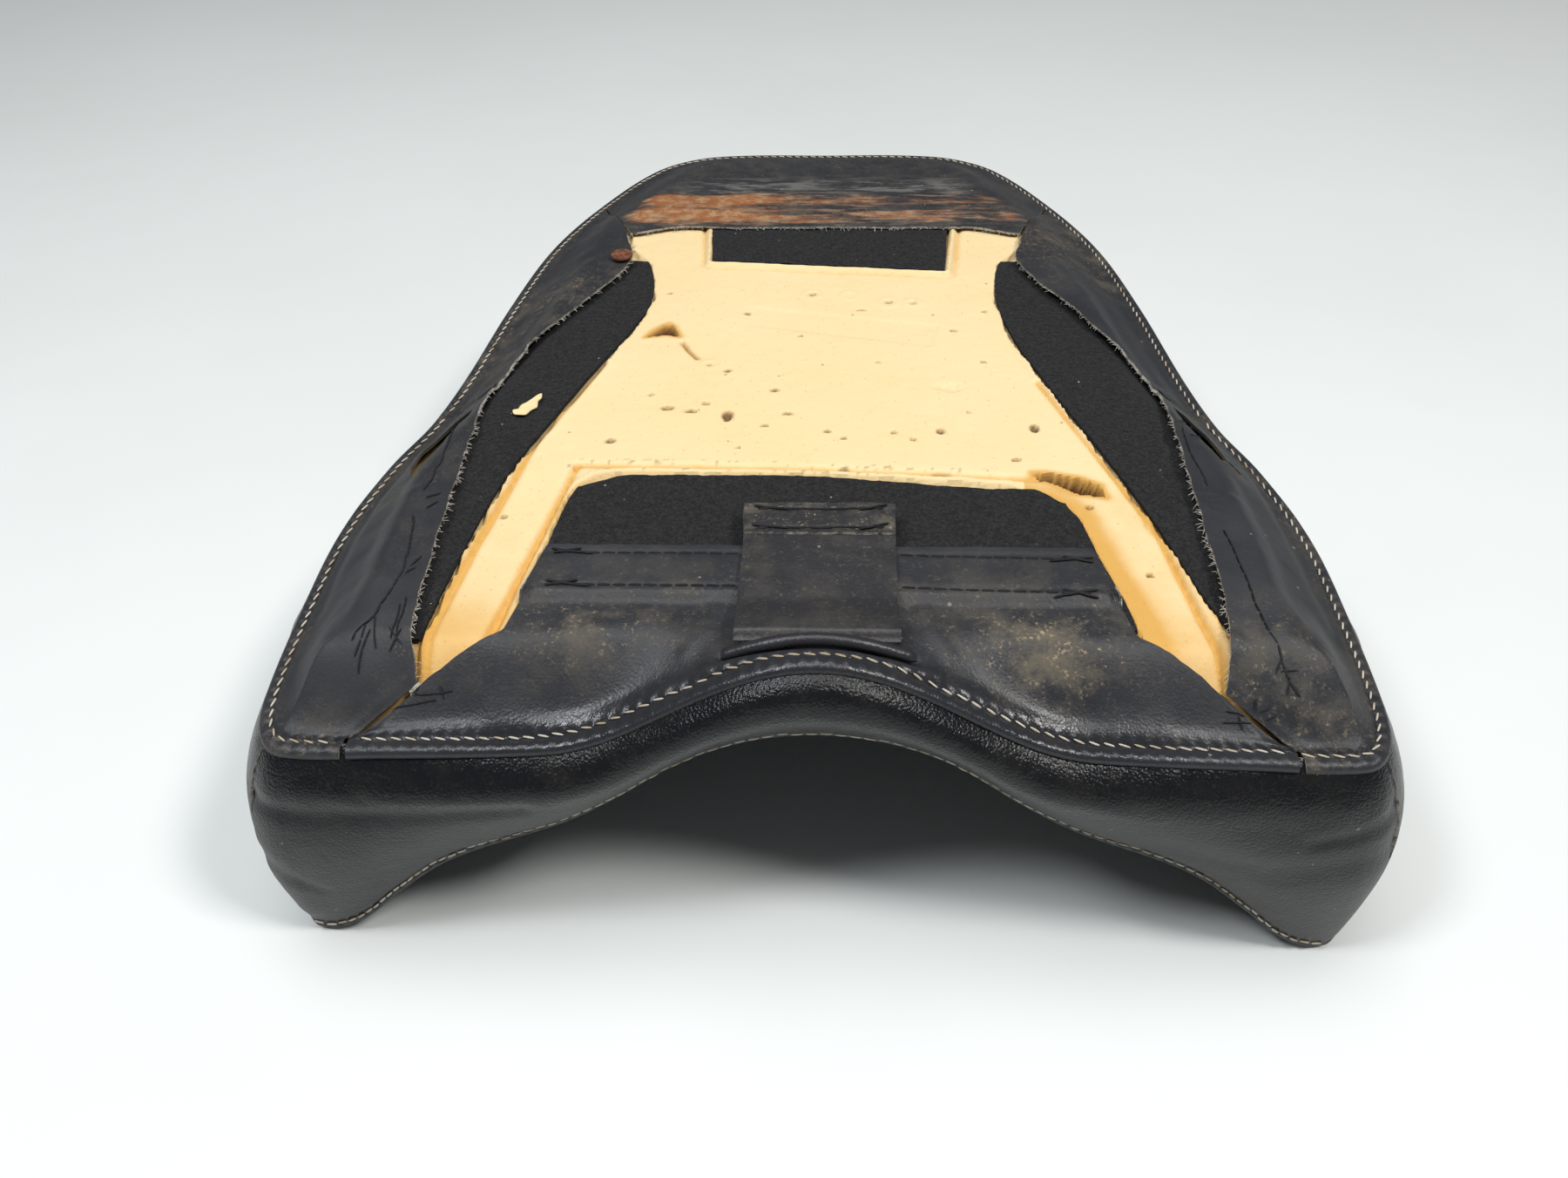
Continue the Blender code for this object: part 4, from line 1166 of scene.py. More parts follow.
    def bubbles_and_tears(self, x: np.ndarray, y: np.ndarray,
                          height: np.ndarray, yellowing_and_shade: np.ndarray,
                          painted_shade: np.ndarray
                          ) -> tuple[np.ndarray, np.ndarray, np.ndarray]:
        """Sink the bubbles, tears and crack, raise the round rings, and paint shade into
        the holes.

        Args:
            x: Plan position across.
            y: Plan position along.
            height: Height so far.
            yellowing_and_shade: Yellowing and painted shade so far.
            painted_shade: Painted shade in holes so far.

        Returns:
            Height, yellowing with painted shade, and painted shade in holes.
        """
        for cx, cy, rx, ry in self.bubbles:
            ex = (x - cx * 0.001) / (rx * 0.001)
            ey = (y - cy * 0.001) / (ry * 0.001)
            turn = 0.35 * lattice_noise(x / 0.002, y / 0.002, int(cx) + 7)
            away = np.hypot(ex, ey) * (1 + 0.4 * turn)
            height -= self.bubble_depth * ease(1.25 - away)
            # Painted shade inside the bubble; it is also darkened over and round it.
            painted_shade = np.maximum(painted_shade, 0.85 * ease((1.10 - away) / 0.40))
            yellowing_and_shade += 0.35 * ease(1.7 - away)
        for cx, cy, radius in self.rings:
            away = np.hypot(x - cx * 0.001, y - cy * 0.001) - radius * 0.001
            height += hump(away, 0.0011) * 0.0006
            yellowing_and_shade += 0.14 * hump(away - 0.0014, 0.0009)
        for tear, depth in ((self.left_tear, self.left_tear_depth),
                            (self.right_tear, self.right_tear_depth)):
            gap = inside_gap(x, y, tear) + rough(x, y, 0.004, 3, 2) * 0.0005
            height -= depth * ease((gap + 0.0004) / 0.0022)
            # Painted shade inside the tear.
            painted_shade = np.maximum(painted_shade, ease((gap + 0.0002) / 0.0014))
            yellowing_and_shade += 0.9 * hump(np.minimum(gap, 0), 0.0028)
        # Painted shade along the crack.
        crack = line_gap(x, y, self.grooves[-1][0])
        return height, yellowing_and_shade, np.maximum(painted_shade, 0.6 * hump(crack, 0.0009))

    def blemishes(self, x: np.ndarray, y: np.ndarray, height: np.ndarray,
                  yellowing_and_shade: np.ndarray) -> tuple[np.ndarray, np.ndarray]:
        """Add the dent, the faint plate and the blister to height and to the yellowing and
        painted shade.
        """
        (dent_x, dent_y), (blister_x, blister_y) = self.dent_at, self.blister_at
        dent = np.hypot((x - dent_x) / 0.008, (y - dent_y) / 0.0042)
        height -= 0.0012 * ease(1.4 - dent) * (1 + rough(x, y, 0.003, 8))
        # The dent is darkened, unevenly: painted shade in the hollow.
        yellowing_and_shade += 0.45 * ease(1.5 - dent) * (0.5 + 0.5 * rough(x, y, 0.003, 2))
        plate = inside_gap(x, y, self.insert)
        height -= 0.0005 * ease(plate / 0.0012)
        yellowing_and_shade += 0.10 * hump(plate, 0.0010)
        blister = np.hypot((x - blister_x) / 0.0032, (y - blister_y) / 0.010)
        height += 0.0016 * ease(1.3 - blister)
        yellowing_and_shade += 0.4 * hump(blister - 1.1, 0.25)
        return height, yellowing_and_shade

    def across(self, half: float) -> np.ndarray:
        """Stations across the underside, close together where it is bare."""
        inner = min(0.176, half - 0.010)
        middle = np.linspace(-inner, inner, 301)
        outer = inner + (half - inner) * np.array([0.33, 0.66, 1.0])
        return np.concatenate([-outer[::-1], middle, outer])

    def build(self, finishes: Finishes) -> bpy.types.Object:
        """Loft the core and dress it."""
        bulge, high = FORM.bulge * 0.75, FORM.bulge_high
        ys = np.concatenate([
            np.linspace(FORM.rear_centre_y + 0.0065, 0.168, 345),
            np.array([0.180, 0.198, 0.215, 0.232, 0.245, 0.258, 0.270, 0.282,
                      0.292, FORM.front_y - 0.004])])
        halves = FORM.half_at(ys) - FORM.foam_inset - 0.0006
        tops = np.stack([self.across(h) for h in halves])
        count = tops.shape[1]
        grid_y = np.repeat(ys[:, None], count, axis=1)
        height, yellowing_and_shade, painted_shade = self.relief(tops, grid_y)
        fade = ease((halves[:, None] - 0.012 - np.abs(tops)) / 0.006)
        height = height * fade - self.sink * (1 - fade)
        top_z = FORM.under_z(tops, grid_y) + height
        side, floor = 6, 44
        low_half = halves + FORM.lower_spread(halves, ys) * 0.85
        low_z = FORM.seating_z(low_half, ys) + self.seat_inset
        t = np.linspace(0, 1, side + 1)[1:-1]
        out = bulge * np.sin(np.pi * t ** high)
        rings = []
        for k, y in enumerate(ys):
            sx = halves[k] + (low_half[k] - halves[k]) * t + out
            sz = top_z[k, -1] + (low_z[k] - top_z[k, -1]) * t
            bx = np.linspace(low_half[k], -low_half[k], floor + 1)
            bz = FORM.seating_z(bx, np.full(bx.shape, y)) + self.seat_inset
            sz_left = top_z[k, 0] + (low_z[k] - top_z[k, 0]) * t
            x = np.concatenate([tops[k], sx, bx, -sx[::-1]])
            z = np.concatenate([top_z[k], sz, bz, sz_left[::-1]])
            rings.append(np.stack([x, np.full(x.shape, y), z], -1))
        rings = np.array(rings)
        m, n, _ = rings.shape
        grid = np.arange(m * n).reshape(m, n)
        after = np.roll(grid, -1, axis=1)
        quads = np.stack([grid[:-1], after[:-1], after[1:], grid[1:]], -1)
        caps = [grid[0, ::-1], grid[-1]]
        spread = np.zeros((2, m, n))
        spread[0, :, :count] = yellowing_and_shade
        spread[1, :, :count] = painted_shade
        obj = build_mesh("foam_body", FORM.real(rings.reshape(-1, 3)),
                         quads.reshape(-1, 4), np.zeros(quads.size // 4), caps,
                         {"yellowing_and_shade": spread[0], "painted_shade": spread[1]}, 50.0)
        obj.data.materials.append(finishes.foam)
        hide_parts("foam_core")
        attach(obj, Body.CUSHION.value)
        LOG.info("%s: padded, %d faces", obj.name, len(obj.data.polygons))
        return obj


# ---- felt pads -------------------------------------------------------------

@dataclass
class FeltPads:
    """Four black fleece pads that lie on the foam."""

    core: FoamCore
    thick: float = 0.0022
    lift: float = 0.0004
    nap: float = 0.00045
    outer: Plan = ((-0.240, 0.170), (-0.162, 0.184), (-0.066, 0.177),
                   (0.020, 0.160), (0.095, 0.124))
    foot_y: float = -0.231

    def pad(self, name: str, x: np.ndarray, y: np.ndarray, up: float,
            lint: float, finishes: Finishes) -> bpy.types.Object:
        """Lay one pad over plan positions x, y."""
        fuzz = rough(x, y, 0.0034, 21, 3) * self.nap
        fuzz = fuzz + rough(x, y, 0.03, 22, 2) * 0.0003
        z = FORM.under_z(x, y) + self.lift + self.thick + fuzz
        cloth = Cloth(name + "_nap", np.stack([x, y, z], -1), self.thick, up,
                      {"lint": np.full(x.shape, lint)})
        return sew_in(cloth, [finishes.fleece] * 3,
                      [name])

    def build(self, finishes: Finishes) -> None:
        """Lay the rear, front and side pads."""
        bed = self.core.rear_bed
        u = np.linspace(0, 1, 190)[:, None]
        v = np.linspace(0, 1, 80)[None, :]
        left = [(p[1], p[0] + 0.0006) for p in bed[1:6]]
        right = [(p[1], p[0] - 0.0006) for p in bed[:-6:-1]]
        along = np.linspace(-0.113, 0.114, 190)
        top_y = -0.1290 - 0.009 * ease((along + 0.02) / 0.115)
        top_y -= 0.010 * ease((np.abs(along) - 0.097) / 0.018) ** 1.4
        top_y += rough(along, along * 0, 0.008, 4) * 0.0005
        y = self.foot_y + (top_y[:, None] - self.foot_y) * v
        half_l = curve_through(left, y)
        half_r = curve_through(right[1:], y)
        x = half_l + (half_r - half_l) * u
        self.pad("rear_felt_pad", x, y, 1.0, 0.0, finishes)
        u = np.linspace(0, 1, 96)[:, None]
        v = np.linspace(0, 1, 48)[None, :]
        near = 0.1018 - 0.0128 * u
        y = near + (0.164 - near) * v
        x = -0.0675 + 0.1415 * u + (y - 0.10) * (2 * u - 1) * 0.10
        self.pad("front_felt_pad", x, y, 1.0, 0.01, finishes)
        bare = self.core.bare
        edges = {-1.0: [(p[1], -p[0]) for p in bare[10:0:-1]],
                 1.0: [(p[1], p[0]) for p in bare[12:-1]]}
        u = np.linspace(0, 1, 34)[:, None]
        v = np.linspace(0, 1, 240)[None, :]
        y = -0.240 + 0.341 * v + 0 * u
        for side, label, lint in ((1.0, "right", 0.006), (-1.0, "left", 0.045)):
            inner = curve_through(edges[side], y) + 0.0004
            outer = np.maximum(curve_through(self.outer, y), inner + 0.004)
            x = side * (inner + (outer - inner) * u)
            dusty = lint * (0.2 + 0.8 * hump(y + 0.05, 0.07))
            z_lint = float(dusty.mean())
            self.pad(label + "_felt_pad", x, y, side, z_lint, finishes)


# ---- cover: walls and seating face -----------------------------------------

@dataclass
class CoverWalls:
    """Four boxing pieces that stand between the upper and lower seams."""

    thick: float = VINYL
    corner_x: float = 0.219
    gap: float = 0.0012
    seam_row: float = 5.0
    gloss_end: float = 250.0
    folds: dict = field(default_factory=lambda: {
        # run along the seam and drop down the wall in mm, width, height
        "rear_boxing": (
            (((-205, 22), (-150, 24), (-95, 22)), 7.0, 1.3),
            (((-222, 33), (-170, 34), (-120, 31)), 5.0, -1.1),
            (((-238, 20), (-226, 60), (-216, 118)), 8.0, 1.4),
            (((-226, 62), (-213, 84), (-205, 92)), 3.5, -0.9),
            (((205, 20), (150, 23), (100, 20)), 9.0, 1.2),
            (((226, 48), (180, 64), (140, 60)), 10.0, -1.0),
            (((232, 12), (216, 34), (196, 40)), 4.0, -0.8),
            (((-70, 14), (0, 12), (70, 14)), 6.0, 0.8)),
        "left_boxing": (
            (((300, 18), (360, 30), (420, 26)), 9.0, 1.3),
            (((330, 44), (400, 52), (470, 40)), 10.0, -1.2),
            (((480, 12), (560, 22), (640, 16)), 8.0, 0.9)),
        "right_boxing": (
            (((300, 20), (350, 34), (400, 28)), 9.0, 1.2),
            (((255, 30), (270, 70), (262, 110)), 7.0, 1.0),
            (((430, 14), (500, 26), (600, 18)), 8.0, 1.0))})

    def place(self, name: str, share: np.ndarray, rows: int,
              finishes: Finishes) -> bpy.types.Object:
        """Stand one boxing piece along a run of the seam."""
        down = np.concatenate([np.linspace(0.0, 0.30, rows // 2 + 1)[:-1],
                               np.linspace(0.30, 0.995, rows - rows // 2)])
        points = FORM.wall(share[:, None], down[None, :])
        drops = np.linalg.norm(np.diff(points, axis=1), axis=2)
        drop = np.concatenate([np.zeros((len(share), 1)),
                               np.cumsum(drops, axis=1)], axis=1) * TO_MM
        run = share[:, None] * FORM.lengths[-1] * TO_MM + 0 * drop
        if name != "rear_boxing":
            run = np.abs(run)
        depth = 0.00035 * rough(run, drop, 46.0, 41, 3)
        depth += 0.0006 * rough(run, drop, 90.0, 44, 2)
        for line, width, height in self.folds.get(name, ()):
            fold = hump(line_gap(run, drop, line), width)
            depth += fold * height * 0.001 * (1 + 0.3 * rough(run, drop, 12.0, 7))
        depth *= ease(down / 0.05) * ease((1 - down) / 0.05)
        foot = drop[:, -1:] - drop
        roll = hump(foot - 1.6, 2.0) * 0.0007
        depth += roll - hump(foot - self.seam_row, 1.6) * 0.0006
        high = curve_through(((0, 1.0), (26, 0.95), (34, 0.30), (60, 0.12),
                              (140, 0.05)), drop)
        if name == "rear_boxing":
            gloss = high * ease((self.gloss_end - np.abs(run)) / 40)
        else:
            gloss = high * 0.55
        dust = 0.25 + 0.35 * ease((drop - 40) / 70)
        facts = {"gloss": np.clip(gloss, 0, 1), "dust": dust * 0.25,
                 "stitch_run": run * FORM.size,
                 "stitch_gap": (foot - self.seam_row) * FORM.size,
                 "stitched": np.full(run.shape, float(name == "rear_boxing"))}
        cloth = Cloth(name + "_skin", points, self.thick, -1.0, facts)
        cloth.press(depth)
        return sew_in(cloth, finishes.cover(finishes.wall),
                      [name])

    def build(self, finishes: Finishes) -> None:
        """Stand the four pieces."""
        corner = FORM.share_of(lambda x, y: x >= self.corner_x)
        front = FORM.share_of(lambda x, y: y >= FORM.front_seam_y)
        step = self.gap / FORM.lengths[-1]
        self.place("rear_boxing", np.linspace(step - corner, corner - step, 300),
                   60, finishes)
        self.place("right_boxing", np.linspace(corner, front - step, 210), 44,
                   finishes)
        self.place("left_boxing", np.linspace(step - front, -corner, 210), 44,
                   finishes)
        half = np.linspace(front, 1.0, 50)
        wrap = np.concatenate([half, -half[-2::-1]])
        self.place("front_boxing", wrap, 40, finishes)


@dataclass
class SeatingFace:
    """Middle panel and two bolsters of the face that is sat on."""

    thick: float = VINYL
    split: float = 0.56
    gap: float = 0.004
    inset: float = 0.0022

    def panel(self, name: str, start: float, end: float, columns: int,
              finishes: Finishes) -> bpy.types.Object:
        """Stretch one panel between two shares of the half width."""
        across = np.linspace(start, end, columns)[:, None]
        v = np.linspace(0, 1, 150)[None, :]
        straight = (FORM.rear_centre_y - FORM.rear_y) * ease(np.abs(across) / 0.5)
        rear = (FORM.rear_centre_y + 2 * self.inset - straight
                + 0.010 * ease((np.abs(across) - 0.92) / 0.08))
        front = FORM.front_y - 0.006
        y = rear + (front - rear) * v
        half = FORM.half_at(y)
        x = (half + FORM.lower_spread(half, y) - self.inset) * across
        z = FORM.seating_z(x, y)
        edge = np.minimum(across - start, end - across) / 0.05
        puff = 0.0022 * ease(edge) * ease(v / 0.03) * ease((1 - v) / 0.03)
        z = z + 0.0012 - puff * 0.5 + 0.0004 * rough(x, y, 0.05, 61, 3)
        cloth = Cloth(name + "_skin", np.stack([x, y, z], -1), self.thick, -1.0,
                      {"gloss": np.full(x.shape, 0.35)})
        return sew_in(cloth, finishes.cover(finishes.wall),
                      [name])

    def build(self, finishes: Finishes) -> None:
        """Stretch the three panels."""
        inner = self.split - self.gap
        outer = self.split + self.gap
        self.panel("seat_middle_panel", -inner, inner, 80, finishes)
        self.panel("right_bolster_panel", outer, 1.0, 36, finishes)
        self.panel("left_bolster_panel", -1.0, -outer, 36, finishes)


# ---- cover: flaps ----------------------------------------------------------

@dataclass
class UnderFlaps:
    """Six flaps that fold from the upper seam over the underside."""

    thick: float = VINYL
    gap: float = 0.0004
    flap_lift: float = 0.0032
    side_lift: float = 0.0052
    seam_lift: float = 0.0017
    rear_seam_lift: float = 0.0030
    tip: tuple[float, float] = (0.161, -0.256)
    hem_top_y: float = -0.187
    hem_foot_y: float = -0.217
    hem_half: float = 0.117
    hem_shoulder: tuple[float, float] = (0.127, -0.237)
    side_seam_y: float = -0.046
    front_flap_y: float = 0.147
    front_flap_half: float = 0.123
    tip_seam_x: float = 0.187
    rear_edge_x: float = 0.2
    lens_z: float = 0.13
    lens_reach: float = 0.05
    side_inner: Plan = ((-0.256, 0.161), (-0.225, 0.165), (-0.159, 0.168),
                        (-0.093, 0.170), (-0.046, 0.171), (0.030, 0.141),
                        (0.092, 0.117), (0.134, 0.124))
    lip: Plan = ((0.0007, 0.0002), (0.0018, 0.0009), (0.0030, 0.0012),
                 (0.0042, 0.0010), (0.0050, 0.0005), (0.0056, -0.0002),
                 (0.0060, -0.0009), (0.0062, -0.0014))
    edges: dict = field(default_factory=dict)

    def inner_side(self, y: np.ndarray) -> np.ndarray:
        """Half width of the side flaps' inner edge."""
        return curve_through(self.side_inner, y)

    def grid(self, share: np.ndarray, inner: np.ndarray, rows: int, lift: float,
             low: float, lip_scale: float = 1.0
             ) -> tuple[np.ndarray, dict[str, np.ndarray], np.ndarray]:
        """Lay a flap from its lip, over its seam, to its inner edge.

        Args:
            share: Place of each column along the upper seam, (m,).
            inner: Plan point where each column ends, (m, 2).
            rows: Rows between the seam and the inner edge.
            lift: Height over the foam well inside the seam.
            low: Height over the foam at the seam.
            lip_scale: Height of the rolled lip, 1 for the full one.

        Returns:
            Points (m, n, 3), values for the points, and thicknesses.
        """
        outer, _, _ = FORM.outline_at(share, -0.0008)
        reach = np.linalg.norm(inner - outer, axis=1)
        fixed = np.array([0.0, 0.0006, 0.0013, 0.0021, 0.0031, 0.0044, 0.0060])
        t = np.linspace(0, 1, rows - len(fixed) + 1)[1:]
        away = np.concatenate([np.repeat(fixed[None, :], len(share), 0),
                               0.006 + (reach[:, None] - 0.006) * t], axis=1)
        across = away / reach[:, None]
        plan = outer[:, None] + (inner - outer)[:, None] * across[..., None]
        rise_by = (self.gap + self.thick + low
                   + (lift - low) * ease(across / 0.55))
        z = FORM.under_z(plan[..., 0], plan[..., 1]) + rise_by
        pull = hump(away, 0.0014) * 0.0007
        puff = hump(away - 0.0042, 0.0030) * 0.0007
        z = z - pull + puff
        flap = np.concatenate([plan, z[..., None]], -1)
        edge_rise = self.gap + self.thick + low - FORM.foam_inset
        arcs = np.array([p[0] for p in self.lip])
        lifts = np.array([p[1] for p in self.lip]) * lip_scale + edge_rise
        lifts = np.maximum(lifts, 0.00045)
        lip = FORM.over_edge(share, arcs, lifts)
        points = np.concatenate([lip[:, ::-1], flap], axis=1)
        thick = np.concatenate([
            np.minimum(self.thick, np.maximum(lifts[::-1] - 0.0002, 0.0002)),
            np.full(away.shape[1], self.thick)])
        along = share * FORM.lengths[-1] * FORM.size * 1000
        gap = np.concatenate([np.broadcast_to(-arcs[::-1], (len(share), len(arcs))),
                              away], axis=1) * FORM.size * 1000
        facts = {"stitch_run": np.broadcast_to(along[:, None], gap.shape),
                 "stitch_gap": gap, "stitched": np.ones(gap.shape)}
        return points, facts, np.broadcast_to(thick, gap.shape)

    def fit(self, name: str, points: np.ndarray, facts: dict[str, np.ndarray],
            thick: np.ndarray, depth: np.ndarray, up: float,
            finishes: Finishes,
            nodes: Sequence[str] | None = None) -> bpy.types.Object:
        """Press folds into a flap and sew it in."""
        cloth = Cloth(name + "_skin", points, thick, up, facts)
        cloth.press(depth)
        self.edges[name] = cloth.points[:, -1].copy()
        return sew_in(cloth, finishes.cover(finishes.flap),
                      [name] if nodes is None else nodes)

    def rear_inner_y(self, x: np.ndarray) -> np.ndarray:
        """Inner edge of the rear flap at half widths x."""
        return np.interp(x, (0, self.hem_half, self.hem_shoulder[0], self.tip[0]),
                         (self.hem_top_y, self.hem_top_y, self.hem_shoulder[1],
                          self.tip[1]))

    def rear(self, finishes: Finishes) -> bpy.types.Object:
        """Fold the rear flap, with its hemmed tongue and strap mouth."""
        s = np.linspace(-1, 1, 321)
        x_in = s * self.tip[0]
        shoulder = self.hem_shoulder[0]
        x_out = np.interp(np.abs(x_in), (0, shoulder, self.tip[0]),
                          (0, shoulder + 0.002, self.tip_seam_x))
        rear = int(np.argmax(FORM.half[:, 0] > self.rear_edge_x))
        shares = FORM.lengths / FORM.lengths[-1]
        share = np.sign(s) * np.interp(x_out, FORM.half[:rear, 0], shares[:rear])
        y_in = self.rear_inner_y(np.abs(x_in))
        y_in = y_in + 0.0005 * rough(x_in, x_in * 0, 0.006, 77, 3)
        inner = np.stack([x_in, y_in], -1)
        points, facts, thick = self.grid(share, inner, 66, self.flap_lift,
                                         self.rear_seam_lift)
        x, y = points[..., 0], points[..., 1]
        on_hem = ease((y - self.hem_foot_y + 0.004) / 0.007)
        on_hem = on_hem * (facts["stitch_gap"] > 0)
        depth = on_hem * 0.0037
        for row in (self.hem_top_y - 0.005, self.hem_foot_y + 0.004):
            depth = depth - 0.0006 * hump(y - row, 0.0015) * on_hem
        depth += 0.0007 * rough(x, y, 0.045, 31, 3)
        depth += 0.0002 * rough(x, y, 0.012, 33, 2)
        mouth = hump(line_gap(x, y, mm(((-42, -258), (-20, -262.5), (0, -263.5),
                                        (24, -262.5), (46, -258)))), 0.0040)
        depth += mouth * 0.0016 * (np.abs(x) < 0.07)
        slit = hump(line_gap(x, y, mm(((-37, -253.5), (38, -254)))), 0.0030)
        depth -= slit * 0.0022
        for line, width, height in (
                (((-130, -262), (-90, -268), (-60, -263)), 5.0, 0.9),
                (((60, -262), (95, -268), (135, -263)), 6.0, 0.9),
                (((-100, -240), (-70, -232), (-40, -238)), 7.0, 0.8),
                (((48, -236), (80, -240), (120, -248)), 8.0, 0.9),
                (((-52, -246), (-45, -236), (-42, -222)), 4.0, 0.9),
                (((52, -246), (46, -236), (43, -224)), 4.0, 0.9)):
            depth += hump(line_gap(x, y, mm(line)), width * 0.001) * height * 0.001
        depth *= ease((facts["stitch_gap"] + 2.5) / 3.0)
        seam_ends = ease((np.abs(s) - 0.975) / 0.025)[:, None]
        depth = depth - 0.0011 * seam_ends * (facts["stitch_gap"] > 3)
        near_seam = hump(np.maximum(facts["stitch_gap"], 0), 11.0)
        lobe = hump(np.abs(x) - 0.105, 0.045) + 0.7 * hump(np.abs(x), 0.06)
        facts["gloss"] = np.clip(near_seam * (0.35 + 0.75 * lobe), 0, 1)
        dust = 0.35 * hump(y + 0.225, 0.03)
        dust = dust + 1.3 * hump(np.hypot((x - 0.089) / 0.025, (y + 0.242) / 0.014),
                                 1.0)
        dust += 0.8 * hump(np.hypot((x + 0.093) / 0.02, (y + 0.235) / 0.010), 1.0)
        facts["dust"] = np.clip(dust, 0, 1.4)
        return self.fit("rear_flap", points, facts, thick, depth, 1.0,
                        finishes,
                        ["rear_flap", "rear_hem_sleeve"])

    def hem_fold(self, finishes: Finishes) -> bpy.types.Object:
        """Lay the turned-under part of the tongue below the listing strip."""
        u = np.linspace(-1, 1, 120)[:, None]
        v = np.linspace(0, 1, 16)[None, :]
        x = (self.hem_half - 0.0006) * u + 0 * v
        y = self.hem_foot_y + (self.hem_top_y - 0.0002 - self.hem_foot_y) * v
        y = y + 0.0012 * rough(x, y * 0, 0.004, 71, 3) * v
        z = FORM.under_z(x, y) + self.flap_lift + self.gap + self.thick
        cloth = Cloth("rear_hem_fold", np.stack([x, y + 0 * x, z], -1), self.thick)
        return sew_in(cloth, [finishes.backing] * 3,
                      [])

    def side(self, side: float, label: str, finishes: Finishes) -> None:
        """Fold the rear and front side flaps of one side."""
        rear_end = FORM.share_of(lambda x, y: x >= self.tip_seam_x)
        middle = FORM.share_of(lambda x, y: y >= self.side_seam_y)
        front = FORM.share_of(lambda x, y: y >= FORM.front_seam_y)
        step = 0.0003 / FORM.lengths[-1]
        spans = (("rear_flap", rear_end + step, middle, self.tip[1] + 0.0003,
                  self.side_seam_y, 200),
                 ("front_flap", middle + step, front, self.side_seam_y + 0.0003,
                  0.133, 170))
        for part, start, end, y0, y1, columns in spans:
            u = np.linspace(0, 1, columns)
            y_in = y0 + (y1 - y0) * u
            ragged = rough(y_in, y_in * 0 + side, 0.009, 81, 4) * 0.0011
            ragged = ragged * ease(u / 0.04) * ease((1 - u) / 0.04)
            inner = np.stack([self.inner_side(y_in) + ragged, y_in], -1)
            points, facts, thick = self.grid(start + (end - start) * u, inner,
                                             44, self.side_lift,
                                             self.seam_lift, 0.75)
            points[..., 0] *= side
            x, y = points[..., 0] * side, points[..., 1]
            gap = facts["stitch_gap"]
            shift = 0.0 if side > 0 else 3.7
            depth = 0.0014 * rough(x + shift, y, 0.050, 51, 3)
            depth += 0.00035 * rough(x + shift, y, 0.012, 53, 2)
            lines = (((214, -205), (212, -150), (203, -90)),
                     ((196, -240), (200, -180), (196, -130)),
                     ((183, -235), (186, -190), (184, -150)),
                     ((176, -30), (168, 20), (158, 70)),
                     ((160, -10), (150, 40), (140, 90)))
            for k, line in enumerate(lines):
                away = line_gap(x, y, mm(line))
                sign = 1.0 if k % 2 == 0 else -0.8
                depth += hump(away, 0.0055) * 0.0016 * sign
            depth *= ease((gap - 1.0) / 6.0)
            ends = np.maximum(ease((0.02 - u) / 0.02), ease((u - 0.98) / 0.02))
            depth -= 0.0010 * ends[:, None] * (gap > 3)
            if part == "rear_flap":
                lower = (self.side_lift - self.flap_lift) * ease(gap / 16)
                depth -= 0.8 * lower * ease((0.07 - u) / 0.05)[:, None]
            depth += self.edge_curl(points, side)
            facts["gloss"] = 0.30 * hump(np.maximum(gap, 0), 5.0)
            tone = rough(x + shift, y, 0.06, 57, 3)
            facts["dust"] = np.clip(0.30 + 0.75 * tone, 0, 1)
            seam = hump(y - self.side_seam_y, 0.012)
            facts["dust"] = np.clip(facts["dust"] + 0.3 * seam, 0, 1)
            obj = self.fit(label + "_" + part, points, facts, thick, depth,
                           side, finishes)
            if part == "rear_flap":
                self.cut_lens(obj, side)

    def edge_curl(self, points: np.ndarray, side: float) -> np.ndarray:
        """Uneven lift of a side flap's inner raw edge."""
        n = points.shape[1]
        near = ease((np.arange(n) - (n - 9)) / 8.0)[None, :]
        y = points[..., 1]
        wave = rough(y, y * 0 + side, 0.035, 91, 3)
        return near * (0.0006 + 0.0011 * wave)

    def cut_lens(self, obj: bpy.types.Object, side: float) -> None:
        """Cut the lens-shaped hole beside the side seam."""
        left = mm(((-192, -130), (-197, -122), (-202, -106), (-201, -92),
                   (-194, -77), (-186, -67), (-179, -66), (-178, -76),
                   (-184, -98), (-188, -116)))
        right = mm(((178, -62), (184, -64), (191, -82), (195, -98), (194, -110),
                    (189, -114), (185, -104), (178, -86)))
        outline = left if side < 0 else right
        bpy.ops.object.select_all(action="DESELECT")
        bpy.ops.mesh.primitive_cylinder_add(vertices=len(outline), radius=1.0,
                                            depth=2.0, location=(0, 0, 0))
        cutter = bpy.context.object
        cutter.name = "lens_cutter"
        plan = FORM.real(np.array([(x, y, 0.0) for x, y in outline]))
        order = sorted({round(math.atan2(v.co.x, v.co.y), 4)
                        for v in cutter.data.vertices})
        for vert in cutter.data.vertices:
            k = order.index(round(math.atan2(vert.co.x, vert.co.y), 4))
            x, y, _ = plan[k if side < 0 else -1 - k]
            vert.co = (x, y, self.lens_z + self.lens_reach * vert.co.z)
        bpy.ops.object.mode_set(mode="EDIT")
        bpy.ops.mesh.select_all(action="SELECT")
        bpy.ops.mesh.normals_make_consistent(inside=False)
        bpy.ops.object.mode_set(mode="OBJECT")
        cut = obj.modifiers.new("lens", "BOOLEAN")
        cut.operation = "DIFFERENCE"
        cut.solver = "EXACT"
        cut.object = cutter
        bpy.ops.object.select_all(action="DESELECT")
        obj.select_set(True)
        bpy.context.view_layer.objects.active = obj
        bpy.ops.object.modifier_apply(modifier=cut.name)
